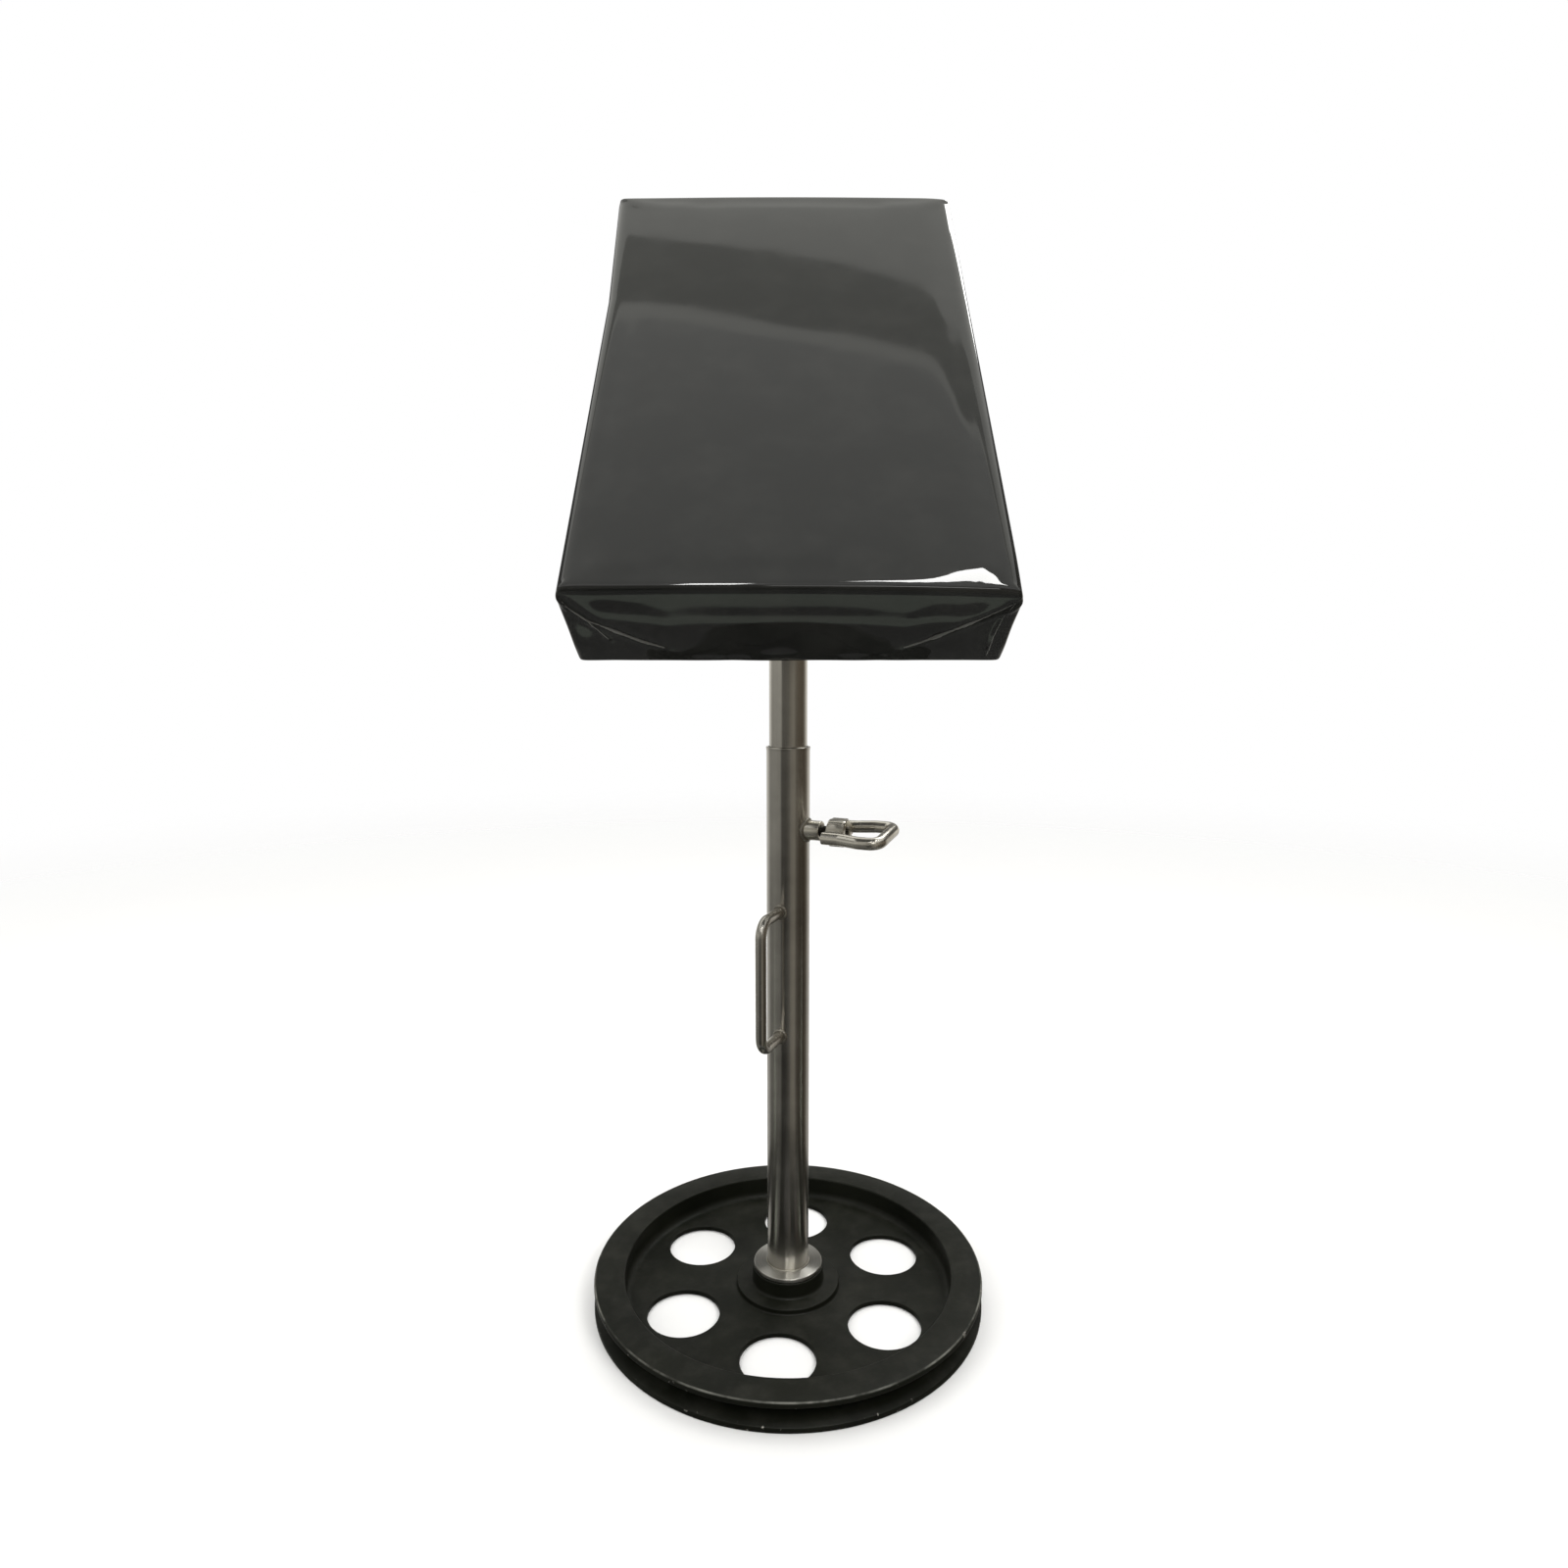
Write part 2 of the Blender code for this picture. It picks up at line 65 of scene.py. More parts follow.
MM = 0.001
RECORD = frame["record"]
NODES = frame["nodes"]
MOUNTS = {mount["name"]: mount for mount in RECORD["mounts"]}
JOINTS = {joint["name"]: joint for joint in frame["joints"]}


# ---- frames from the CAD


def frame_from(origin, x_axis, y_axis, z_axis):
    """A matrix with these axes and this origin."""
    columns = Matrix((x_axis, y_axis, z_axis)).transposed()
    return Matrix.Translation(origin) @ columns.to_4x4()


def extent(node, matrix):
    """A node's lowest and highest corner in the given frame."""
    back = matrix.inverted()
    points = np.array([back @ v.co for v in NODES[node].data.vertices])
    return Vector(points.min(0)), Vector(points.max(0))


def pad_frame():
    """X across the pad, Y up its slope, Z square to its face; origin on the tilt axis."""
    normal = Vector(MOUNTS["pad_face"]["axis"]).normalized()
    across = Vector((1, 0, 0))
    return frame_from(Vector(JOINTS["pad_tilt"]["pos_m"]), across, normal.cross(across), normal)


def lock_frame():
    """Z out along the clamp screw, X down; origin on the post's axis."""
    joint = JOINTS["lock_screw_turn"]
    out = Vector(joint["axis"]).normalized()
    down = Vector((0, 0, -1))
    return frame_from(Vector(joint["pos_m"]), down, out.cross(down), out)


PAD = pad_frame()
LOCK = lock_frame()
PAD_LOW, PAD_HIGH = extent("pad_cover", PAD)
OUTER_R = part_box("outer_tube")[1].x
INNER_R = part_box("inner_tube")[1].x
RIM_R, RIM_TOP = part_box("pulley_base")[1].x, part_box("pulley_base")[1].z
TUBE_WALL = 1.5 * MM
ROD_R = 4 * MM
UP = Vector((0, 0, 1))


# ---- small functions


def sign(value):
    """Which side of zero."""
    return 1 if value > 0 else -1


def bell(distance, width):
    """1 at no distance, falling smoothly to nothing."""
    return exp(-((distance / width) ** 2))


def ramp(value, low, high):
    """0 below low, 1 above high, smooth between."""
    t = max(0.0, min(1.0, (value - low) / (high - low)))
    return t * t * (3 - 2 * t)


def wave(x, y, z):
    """Smooth noise, -1 to 1; z picks the pattern."""
    return noise.noise(Vector((x, y, z)))


# ---- mesh tools


def placed(name, data):
    """A new object in the scene."""
    obj = bpy.data.objects.new(name, data)
    bpy.context.scene.collection.objects.link(obj)
    return obj


def shade(obj, sharp):
    """Smooth shading, except at edges sharper than this many degrees."""
    obj.data.shade_smooth()
    obj.data.set_sharp_from_angle(angle=radians(sharp))
    return obj


def mesh_object(name, bm, mat, sharp=35):
    """An object from a bmesh, shaded smooth except at its sharp edges."""
    mesh = bpy.data.meshes.new(name)
    bm.to_mesh(mesh)
    bm.free()
    mesh.materials.append(mat)
    return shade(placed(name, mesh), sharp)


def skin(rings, loop=False, matrix=None):
    """One closed body through equal rings: a loop for a hollow, else capped at both ends."""
    bm = bmesh.new()
    rows = [[bm.verts.new(p) for p in ring] for ring in rings]
    pairs = list(zip(rows, rows[1:]))
    if loop:
        pairs.append((rows[-1], rows[0]))
    for low, high in pairs:
        for i in range(len(low)):
            j = (i + 1) % len(low)
            bm.faces.new((low[i], low[j], high[j], high[i]))
    if not loop:
        bm.faces.new(rows[0])
        bm.faces.new(rows[-1])
    bmesh.ops.recalc_face_normals(bm, faces=bm.faces)
    if matrix:
        bm.transform(matrix)
    return bm


def polar(radius, angle, z):
    """The point at this radius, angle and height round Z."""
    return Vector((radius * cos(angle), radius * sin(angle), z))


def circle(radius, z, sides):
    """A ring round Z."""
    return [polar(radius, 2 * pi * i / sides, z) for i in range(sides)]


def turned(profile, sides, loop=False, matrix=None):
    """A body turned round Z from (radius, z) points."""
    return skin([circle(r, z, sides) for r, z in profile], loop, matrix)


def eased(outline, steps, closed=True):
    """(radius, z) points through an outline of (radius, z, corner radius in mm)."""
    corners = [(r, z, 0) for r, z, _ in outline]
    return [(p.x, p.y) for p in rounded(corners, [ease * MM for _, _, ease in outline], steps, closed)]


def evenly(start, end, count):
    """Evenly spaced points from start to end."""
    return [start.lerp(end, i / (count - 1)) for i in range(count)]


def arc_at(corner, back, on, radius, steps):
    """The arc that rounds a corner; back and on lead to its neighbours. None if it is straight."""
    shortest, straight, most = 1e-7, pi - 0.01, 0.49
    if back.length < shortest or on.length < shortest or back.angle(on) > straight:
        return None
    half = back.angle(on) / 2
    trim = min(radius / tan(half), most * back.length, most * on.length)
    radius = trim * tan(half)
    back, on = back.normalized(), on.normalized()
    centre = corner + (back + on).normalized() * radius / sin(half)
    start = (corner + back * trim - centre).normalized()
    end = (corner + on * trim - centre).normalized()
    sweep = start.angle(end)
    arc = []
    for k in range(steps + 1):
        t = k / steps
        arm = (start * sin((1 - t) * sweep) + end * sin(t * sweep)) / sin(sweep)
        arc.append(centre + arm * radius)
    return arc


def rounded(points, radii, steps=4, closed=False):
    """A polyline whose corners are turned into arcs; one radius for all, or one per point."""
    points = [Vector(p) for p in points]
    if isinstance(radii, (int, float)):
        radii = [radii] * len(points)
    path = []
    for i, corner in enumerate(points):
        arc = None
        is_end = not closed and i in (0, len(points) - 1)
        if radii[i] > 0 and not is_end:
            on = points[(i + 1) % len(points)] - corner
            arc = arc_at(corner, points[i - 1] - corner, on, radii[i], steps)
        path += arc or [corner]
    return path


def tube_curve(name, path, radius, mat, closed=False, swell=None, smooth=6):
    """Round bar or bead along a path; swell gives each point's share of the radius."""
    curve = bpy.data.curves.new(name, "CURVE")
    curve.dimensions = "3D"
    curve.bevel_depth = radius
    curve.bevel_resolution = smooth
    curve.use_fill_caps = not closed
    spline = curve.splines.new("POLY")
    spline.points.add(len(path) - 1)
    spline.use_cyclic_u = closed
    for i, (point, at) in enumerate(zip(spline.points, path)):
        point.co = (*at, 1)
        point.radius = swell[i] if swell else 1
    spline.use_smooth = True
    curve.materials.append(mat)
    return placed(name, curve)


def evaluated(obj):
    """Freeze an object's modifiers into its mesh."""
    graph = bpy.context.evaluated_depsgraph_get()
    mesh = bpy.data.meshes.new_from_object(obj.evaluated_get(graph))
    obj.modifiers.clear()
    obj.data = mesh
    return obj


def cut(obj, bm, sharp=35):
    """Take a tool body away from the object."""
    tool = mesh_object("tool", bm, obj.data.materials[0])
    modifier = obj.modifiers.new("cut", "BOOLEAN")
    modifier.operation = "DIFFERENCE"
    modifier.object = tool
    evaluated(obj)
    bpy.data.objects.remove(tool, do_unlink=True)
    return shade(obj, sharp)


def stands_for(obj, body, slot, *nodes):
    """Ride on a body and stand for CAD nodes; slot is not used."""
    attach(obj, body)
    if nodes:
        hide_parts(*nodes)
    return obj


def softened(node, body, mat, slot, width):
    """A CAD piece again, with its edges rounded."""
    bm = bmesh.new()
    bm.from_mesh(NODES[node].data)
    bmesh.ops.remove_doubles(bm, verts=bm.verts, dist=0.01 * MM)
    bmesh.ops.dissolve_limit(bm, angle_limit=radians(1), verts=bm.verts, edges=bm.edges)
    obj = mesh_object(f"{node}_fine", bm, mat)
    bevel = obj.modifiers.new("edges", "BEVEL")
    bevel.width = width
    bevel.segments = 3
    bevel.limit_method = "ANGLE"
    bevel.angle_limit = radians(40)
    evaluated(obj)
    shade(obj, 35)
    return stands_for(obj, body, slot, node)


# ---- materials


def put(tree, socket, value):
    """Link a socket, or set it; a colour is given as three numbers."""
    if isinstance(value, bpy.types.NodeSocket):
        tree.links.new(value, socket)
    elif socket.type == "RGBA":
        socket.default_value = (*value, 1)
    else:
        socket.default_value = value


def new_node(tree, kind, inputs=(), **settings):
    """A node with its settings made and its inputs linked or set."""
    node = tree.nodes.new(kind)
    for key, value in settings.items():
        setattr(node, key, value)
    for key, value in dict(inputs).items():
        put(tree, node.inputs[key], value)
    return node


class Paint:
    """A Principled material with its nodes close at hand."""

    def __init__(self, name, roughness=0.5, metallic=0.0, **fixed):
        self.mat = bpy.data.materials.new(name)
        self.mat.use_nodes = True
        self.tree = self.mat.node_tree
        self.shader = self.tree.nodes["Principled BSDF"]
        self.shader.inputs["Roughness"].default_value = roughness
        self.shader.inputs["Metallic"].default_value = metallic
        for key, value in fixed.items():
            self.shader.inputs[key.replace("_", " ")].default_value = value
        self.coords = self.tree.nodes.new("ShaderNodeTexCoord").outputs["Object"]
        self.normal = None

    def add(self, kind, inputs=(), **settings):
        """A new node in this material."""
        return new_node(self.tree, kind, inputs, **settings)

    def scaled(self, scale, matrix=None):
        """Object coordinates, stretched; with a matrix, in that frame."""
        coords = self.coords
        if matrix:
            turn = {"Vector": coords, "Location": matrix.to_translation(), "Rotation": matrix.to_euler()}
            coords = self.add("ShaderNodeMapping", turn, vector_type="TEXTURE").outputs["Vector"]
        return self.add("ShaderNodeMapping", {"Vector": coords, "Scale": scale}).outputs["Vector"]

    def noise(self, scale, detail=3.0, rough=0.55, vector=None, warp=0.0):
        """Fractal noise, about 0.2 to 0.8."""
        inputs = {"Scale": scale, "Detail": detail, "Roughness": rough, "Distortion": warp}
        inputs["Vector"] = vector or self.coords
        return self.add("ShaderNodeTexNoise", inputs).outputs["Fac"]

    def cells(self, scale, feature="F1", vector=None):
        """Distance to the nearest cell's centre."""
        inputs = {"Scale": scale, "Vector": vector or self.coords}
        return self.add("ShaderNodeTexVoronoi", inputs, feature=feature).outputs["Distance"]

    def remap(self, value, low, high, to_low=0.0, to_high=1.0):
        """Stretch low..high to to_low..to_high, and clamp there."""
        inputs = {"Value": value, "From Min": low, "From Max": high, "To Min": to_low, "To Max": to_high}
        return self.add("ShaderNodeMapRange", inputs, clamp=True).outputs["Result"]

    def math(self, operation, a, b=0.0):
        """One operation on two values."""
        return self.add("ShaderNodeMath", {0: a, 1: b}, operation=operation).outputs[0]

    def blend(self, a, share_a, b, share_b):
        """The sum of two values, each times its share."""
        return self.math("ADD", self.times(a, share_a), self.times(b, share_b))

    def mix(self, share, a, b):
        """Blend two colours."""
        return self.add("ShaderNodeMix", {"Factor": share, 6: a, 7: b}, data_type="RGBA").outputs[2]

    def colour(self, value):
        """Set the base colour."""
        self.drive("Base Color", value)

    def tones(self, value, low, high, a, b):
        """Base colour from a to b as a value goes from low to high."""
        self.colour(self.mix(self.remap(value, low, high), a, b))

    def rough(self, value, low, high):
        """Roughness that follows a noise."""
        self.drive("Roughness", self.remap(value, 0.3, 0.7, low, high))

    def times(self, a, b):
        """The product of two values."""
        return self.math("MULTIPLY", a, b)

    def drive(self, name, value):
        """Feed one of the shader's inputs."""
        put(self.tree, self.shader.inputs[name], value)

    def bump(self, height, distance, strength=1.0):
        """Add relief; calls stack."""
        inputs = {"Height": height, "Distance": distance, "Strength": strength}
        if self.normal:
            inputs["Normal"] = self.normal
        self.normal = self.add("ShaderNodeBump", inputs).outputs["Normal"]
        self.drive("Normal", self.normal)


def stainless(name, light, dark, roughness, matrix=None):
    """Satin stainless: streaks and fine scratches along Z, or the matrix's Z, and handling smears."""
    paint = Paint(name, metallic=1.0)
    streaks = paint.noise(1.0, 4, 0.6, paint.scaled((170, 170, 3.0), matrix))
    fine = paint.noise(1.0, 3, 0.6, paint.scaled((1500, 1500, 14), matrix))
    smears = paint.noise(22, 4, 0.6)
    tone = paint.blend(streaks, 0.7, smears, 0.3)
    paint.tones(tone, 0.32, 0.68, dark, light)
    rough = paint.remap(smears, 0.3, 0.7, roughness - 0.07, roughness + 0.09)
    rough = paint.math("ADD", rough, paint.remap(fine, 0.3, 0.7, -0.04, 0.05))
    paint.drive("Roughness", rough)
    paint.bump(fine, 0.006 * MM, 0.4)
    paint.bump(streaks, 0.03 * MM, 0.15)
    return paint.mat


def radius_of(paint):
    """Distance from the post's axis, as a socket."""
    place = paint.add("ShaderNodeSeparateXYZ", {"Vector": paint.coords})
    across = paint.math("POWER", place.outputs["X"], 2.0)
    along = paint.math("POWER", place.outputs["Y"], 2.0)
    return paint.math("SQRT", paint.math("ADD", across, along))


def polished(name, light, dark, roughness, rings=0.0):
    """Stainless polished round the post's axis: reflections smear along it, bands stay crisp.

    With rings, lathe marks of that noise scale too.
    """
    paint = Paint(name, metallic=1.0, Anisotropic=0.9, Anisotropic_Rotation=0.25)
    around = paint.add("ShaderNodeTangent", direction_type="RADIAL", axis="Z")
    paint.drive("Tangent", around.outputs["Tangent"])
    marks = paint.noise(1.0, 3, 0.6, paint.scaled((16, 16, 1500)))
    drawn = paint.noise(1.0, 4, 0.6, paint.scaled((120, 120, 2.5)))
    smears = paint.noise(22, 4, 0.6)
    tone = paint.blend(drawn, 0.35, smears, 0.65)
    if rings:
        only_radius = paint.add("ShaderNodeCombineXYZ", {"X": radius_of(paint)}).outputs["Vector"]
        turned_marks = paint.noise(rings, 3, 0.7, only_radius)
        tone = paint.blend(tone, 0.4, turned_marks, 0.6)
        paint.bump(turned_marks, 0.03 * MM, 0.5)
    paint.tones(tone, 0.32, 0.68, dark, light)
    paint.rough(smears, roughness - 0.03, roughness + 0.05)
    paint.bump(marks, 0.004 * MM, 0.4)
    return paint.mat


def weld_metal():
    """Cooled weld: duller than the bar, straw and blue at the edge of the heat."""
    paint = Paint("weld_metal", metallic=1.0)
    heat = paint.noise(160, 3, 0.6)
    base = paint.mix(paint.remap(heat, 0.35, 0.65), (0.24, 0.22, 0.19), (0.44, 0.42, 0.37))
    paint.colour(paint.mix(paint.remap(paint.noise(420, 2), 0.6, 0.72, 0, 0.5), base, (0.11, 0.10, 0.12)))
    paint.rough(heat, 0.32, 0.52)
    paint.bump(paint.noise(900, 3), 0.08 * MM, 0.5)
    return paint.mat


def casting_paint():
    """Black satin paint over cast iron: grain, dust where it can lie, chips at the rim, and a lighter band
    round the rim's crest that is partly rubbed paint and partly a painted highlight.
    """
    paint = Paint("casting_paint", Specular_IOR_Level=0.16)
    grain = paint.noise(900, 4, 0.6)
    lumps = paint.noise(90, 3, 0.5)
    mottle = paint.noise(26, 4, 0.6)
    normal = paint.add("ShaderNodeNewGeometry").outputs["Normal"]
    facing = paint.add("ShaderNodeSeparateXYZ", {"Vector": normal})
    up = paint.remap(facing.outputs["Z"], 0.55, 0.98)
    place = paint.add("ShaderNodeSeparateXYZ", {"Vector": paint.coords})
    radius = radius_of(paint)
    black = paint.mix(paint.remap(mottle, 0.3, 0.7), (0.0036, 0.0042, 0.0024), (0.0075, 0.0082, 0.0050))
    dust = paint.times(up, paint.remap(paint.noise(60, 5, 0.7), 0.45, 0.8, 0.0, 0.16))
    dusty = paint.mix(dust, black, (0.075, 0.072, 0.060))
    edge = paint.remap(radius, RIM_R - 1.7 * MM, RIM_R - 0.3 * MM)
    chip = paint.times(edge, paint.remap(paint.noise(160, 4, 0.6), 0.655, 0.675))
    # Lighter paint round the rim's top edge: partly rubbed paint, partly a painted highlight line along the
    # crest.
    crest = paint.remap(place.outputs["Z"], RIM_TOP - 1.0 * MM, RIM_TOP - 0.4 * MM)
    crest_wear_and_highlight = paint.times(paint.remap(radius, RIM_R - 1.6 * MM, RIM_R - 0.9 * MM), crest)
    crest_wear_and_highlight = paint.times(crest_wear_and_highlight, paint.remap(paint.noise(45, 4, 0.6), 0.42, 0.62, 0.10, 0.9))
    rubbed = paint.mix(crest_wear_and_highlight, dusty, (0.15, 0.15, 0.13))
    paint.colour(paint.mix(chip, rubbed, (0.34, 0.33, 0.30)))
    paint.drive("Metallic", paint.times(chip, 0.9))
    rough = paint.remap(lumps, 0.3, 0.7, 0.38, 0.50)
    rough = paint.math("ADD", rough, paint.times(dust, 0.5))
    paint.drive("Roughness", rough)
    paint.bump(grain, 0.12 * MM, 0.45)
    paint.bump(lumps, 0.25 * MM, 0.35)
    paint.bump(chip, -0.12 * MM, 0.6)
    return paint.mat


def vinyl(name, clean, rubbed):
    """Glossy black upholstery vinyl: fine pressed grain, soft waves, a little dust and rub."""
    paint = Paint(name, Specular_IOR_Level=0.5)
    wide = paint.noise(13, 2, 0.5)
    grain = paint.cells(1100, "SMOOTH_F1")
    pores = paint.noise(2400, 2, 0.5)
    rub = paint.noise(30, 5, 0.65)
    paint.colour(paint.mix(paint.remap(rub, 0.45, 0.8, 0, 0.6), clean, rubbed))
    paint.drive("Roughness", paint.remap(rub, 0.3, 0.75, 0.03, 0.06))
    paint.bump(wide, 0.5 * MM, 0.2)
    paint.bump(grain, 0.02 * MM, 0.06)
    paint.bump(pores, 0.004 * MM, 0.12)
    return paint.mat


def zinc():
    """Bright zinc plate with a faint yellow and blue cast."""
    paint = Paint("zinc_plate", metallic=1.0)
    cast = paint.noise(120, 3)
    paint.tones(cast, 0.35, 0.65, (0.52, 0.52, 0.50), (0.66, 0.65, 0.60))
    paint.rough(paint.noise(300, 3), 0.24, 0.40)
    paint.bump(paint.noise(1400, 2), 0.02 * MM, 0.4)
    return paint.mat


def mottled(name, pattern, span, tones, rough, grain=None, metallic=1.0, **fixed):
    """Two tones and two roughnesses mixed by one noise, over a fine grain if there is one."""
    paint = Paint(name, metallic=metallic, **fixed)
    cloud = paint.noise(*pattern)
    paint.tones(cloud, *span, *tones)
    paint.rough(cloud, *rough)
    if grain:
        paint.bump(paint.noise(grain, 2), 0.02 * MM, 0.5)
    return paint.mat


def plywood():
    """Birch plywood: face grain along the pad, thin layers through its thickness."""
    paint = Paint("birch_plywood")
    local = paint.scaled((1, 1, 1), PAD)
    parts = paint.add("ShaderNodeSeparateXYZ", {"Vector": local})
    grain = paint.noise(1.0, 5, 0.6, paint.scaled((260, 9, 260), PAD), 0.4)
    layer = paint.math("SINE", paint.times(parts.outputs["Z"], 2 * pi / (2.6 * MM)))
    wood = paint.mix(paint.remap(grain, 0.3, 0.7), (0.42, 0.27, 0.13), (0.62, 0.44, 0.25))
    paint.colour(paint.mix(paint.remap(layer, 0.2, 0.8, 0, 0.35), wood, (0.25, 0.14, 0.06)))
    paint.rough(grain, 0.55, 0.75)
    paint.bump(grain, 0.1 * MM, 0.4)
    return paint.mat


def underlay_cloth():
    """Black spun-bonded dust cloth with its pressed dot pattern."""
    paint = Paint("dust_cloth", roughness=0.9, Sheen_Weight=0.15)
    dots = paint.cells(1.0, "F1", paint.scaled((650, 650, 650), PAD))
    fibres = paint.noise(1500, 4, 0.7)
    paint.tones(fibres, 0.35, 0.7, (0.012, 0.012, 0.012), (0.045, 0.045, 0.043))
    paint.bump(dots, 0.15 * MM, 0.5)
    paint.bump(fibres, 0.08 * MM, 0.5)
    return paint.mat


STEEL = stainless("satin_stainless", (0.60, 0.58, 0.53), (0.36, 0.34, 0.31), 0.22)
TUBE_STEEL = polished("polished_stainless", (0.62, 0.60, 0.55), (0.42, 0.40, 0.37), 0.20)
COLLAR_STEEL = polished("turned_stainless", (0.66, 0.65, 0.61), (0.36, 0.35, 0.32), 0.30, rings=1500)
STEEL_CLAMP = stainless("clamp_stainless", (0.80, 0.77, 0.70), (0.55, 0.52, 0.45), 0.24, LOCK)
WELD = weld_metal()
CASTING = casting_paint()
VINYL = vinyl("black_vinyl", (0.0085, 0.0088, 0.0080), (0.020, 0.020, 0.018))
# The fold edges get vinyl about eight times lighter than the cover's: a painted highlight for the light the
# folds catch.
VINYL_FOLD_HIGHLIGHT = vinyl("creased_vinyl_painted_highlight", (0.070, 0.070, 0.064), (0.13, 0.13, 0.12))
ZINC = zinc()
OXIDE_TONES = (0.045, 0.042, 0.038), (0.17, 0.16, 0.14)
OXIDE = mottled("black_oxide", (260, 4, 0.6), (0.52, 0.7), OXIDE_TONES, (0.55, 0.36), 1600)
BRASS_TONES = (0.48, 0.33, 0.13), (0.68, 0.50, 0.22)
BRASS = mottled("turned_brass", (200, 3), (0.35, 0.65), BRASS_TONES, (0.28, 0.44))
NYLON_TONES = (0.26, 0.26, 0.25), (0.33, 0.33, 0.32)
MOULDED = {"metallic": 0.0, "Subsurface_Weight": 0.05}
NYLON = mottled("grey_nylon", (90, 3), (0.3, 0.7), NYLON_TONES, (0.42, 0.55), 1800, **MOULDED)
PLYWOOD = plywood()
CLOTH = underlay_cloth()


# ---- welds

RIPPLE = 1.6 * MM


def bead(name, path, radius, body, seed, closed=True):
    """A hand-laid weld: even ripples, and a width that wanders."""
    swell = []
    run = 0.0
    for i, point in enumerate(path):
        run += (point - path[i - 1]).length if i else 0
        ripple = 0.10 * sin(2 * pi * run / RIPPLE)
        drift = 0.16 * wave(run * 90, seed * 7.3, 0)
        swell.append(1 + ripple + drift)
    obj = tube_curve(name, path, radius, WELD, closed, swell, 4)
    stands_for(obj, body, "stainless")


def saddle_path(rod_r, matrix, steps=72):
    """Where a round bar along the matrix's Z meets the outer tube."""
    path = []
    for i in range(steps):
        angle = 2 * pi * i / steps
        out = sqrt(OUTER_R**2 - (rod_r * sin(angle)) ** 2)
        path.append(matrix @ polar(rod_r, angle, out))
    return path


def outward_frame(origin, towards):
    """Z level and away from the post through a point, X up."""
    out = Vector((towards.x, towards.y, 0)).normalized()
    return frame_from(origin, UP, out.cross(UP), out)


# ---- base

RIM_INNER_R = 126.6 * MM
GROOVE_DEPTH, GROOVE_FLOOR, GROOVE_MOUTH = 13 * MM, 2.6 * MM, 6.8 * MM  # the last two are half widths
WEB_LOW, WEB_TOP = 0.6 * MM, 4.4 * MM
BOSS_R, BOSS_TOP = 40 * MM, 8.5 * MM
NECK_R = 27.5 * MM
BORE_R = 12.3 * MM
HOLE_R, HOLE_CIRCLE_R = 27.1 * MM, 86.9 * MM
HOLE_START = radians(25.1)
HOLE_LIP = 0.9 * MM
M8_CLEAR_R = 4.3 * MM


def pulley():
    """The casting: V groove, dished web with six holes, boss and hub."""
    middle = RIM_TOP / 2
    neck_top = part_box("post_collar")[0].z - 0.3 * MM
    outline = [
        (BORE_R, 0, 0.3),
        (BOSS_R, 0, 0.4),
        (BOSS_R + 0.6 * MM, WEB_LOW, 0),
        (RIM_INNER_R - 0.6 * MM, WEB_LOW, 0),
        (RIM_INNER_R, 0, 0.4),
        (RIM_R, 0, 1.2),
        (RIM_R, middle - GROOVE_MOUTH, 0.9),
        (RIM_R - GROOVE_DEPTH, middle - GROOVE_FLOOR, 0.8),
        (RIM_R - GROOVE_DEPTH, middle + GROOVE_FLOOR, 0.8),
        (RIM_R, middle + GROOVE_MOUTH, 0.9),
        (RIM_R, RIM_TOP, 1.4),
        (RIM_INNER_R, RIM_TOP, 1.4),
        (RIM_INNER_R, WEB_TOP, 5.8),
        (BOSS_R, WEB_TOP, 1.6),
        (BOSS_R, BOSS_TOP, 0.9),
        (NECK_R, BOSS_TOP, 2.2),
        (NECK_R, neck_top, 0.8),
        (BORE_R, neck_top, 0.4),
    ]
    body = mesh_object("pulley_casting", turned(eased(outline, 5), 192, loop=True), CASTING, 40)
    for i in range(6):
        at = Matrix.Translation(polar(HOLE_CIRCLE_R, HOLE_START + i * pi / 3, 0))
        cut(body, turned(web_hole(), 96, matrix=at), 40)
    for number in (1, 2):
        low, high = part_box(f"hub_set_screw_{number}")
        centre = (low + high) / 2
        tapped = [(M8_CLEAR_R, -9 * MM), (M8_CLEAR_R, 12 * MM)]
        cut(body, turned(tapped, 32, matrix=outward_frame(centre, centre)), 40)
    stands_for(body, "stand", "pulley", "pulley_base")


def web_hole():
    """The outline of the tool for one hole: its upper lip rounded, a small step under the web."""
    steps = 6
    over, under = 4 * MM, 0.5 * MM
    outline = [(HOLE_R + HOLE_LIP, WEB_TOP + over)]
    for i in range(steps + 1):
        angle = pi / 2 * i / steps
        outline.append((HOLE_R + HOLE_LIP * (1 - sin(angle)), WEB_TOP - HOLE_LIP * (1 - cos(angle))))
    outline.append((HOLE_R, WEB_LOW + under))
    outline.append((HOLE_R + under, WEB_LOW))
    outline.append((HOLE_R + under, WEB_LOW - over))
    return outline


def collar():
    """The round plate that carries the post, with its weld to the tube."""
    low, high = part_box("post_collar")
    ease, centre = 0.6, 0.2 * MM
    outline = [(centre, low.z, 0), (high.x, low.z, ease), (high.x, high.z, ease), (centre, high.z, 0)]
    plate = mesh_object("post_plate", turned(eased(outline, 4, closed=False), 128), COLLAR_STEEL)
    stands_for(plate, "stand", "stainless", "post_collar")
    bead("post_weld", circle(OUTER_R + 0.2 * MM, high.z + 0.2 * MM, 180), 0.7 * MM, "stand", 1)


# ---- post


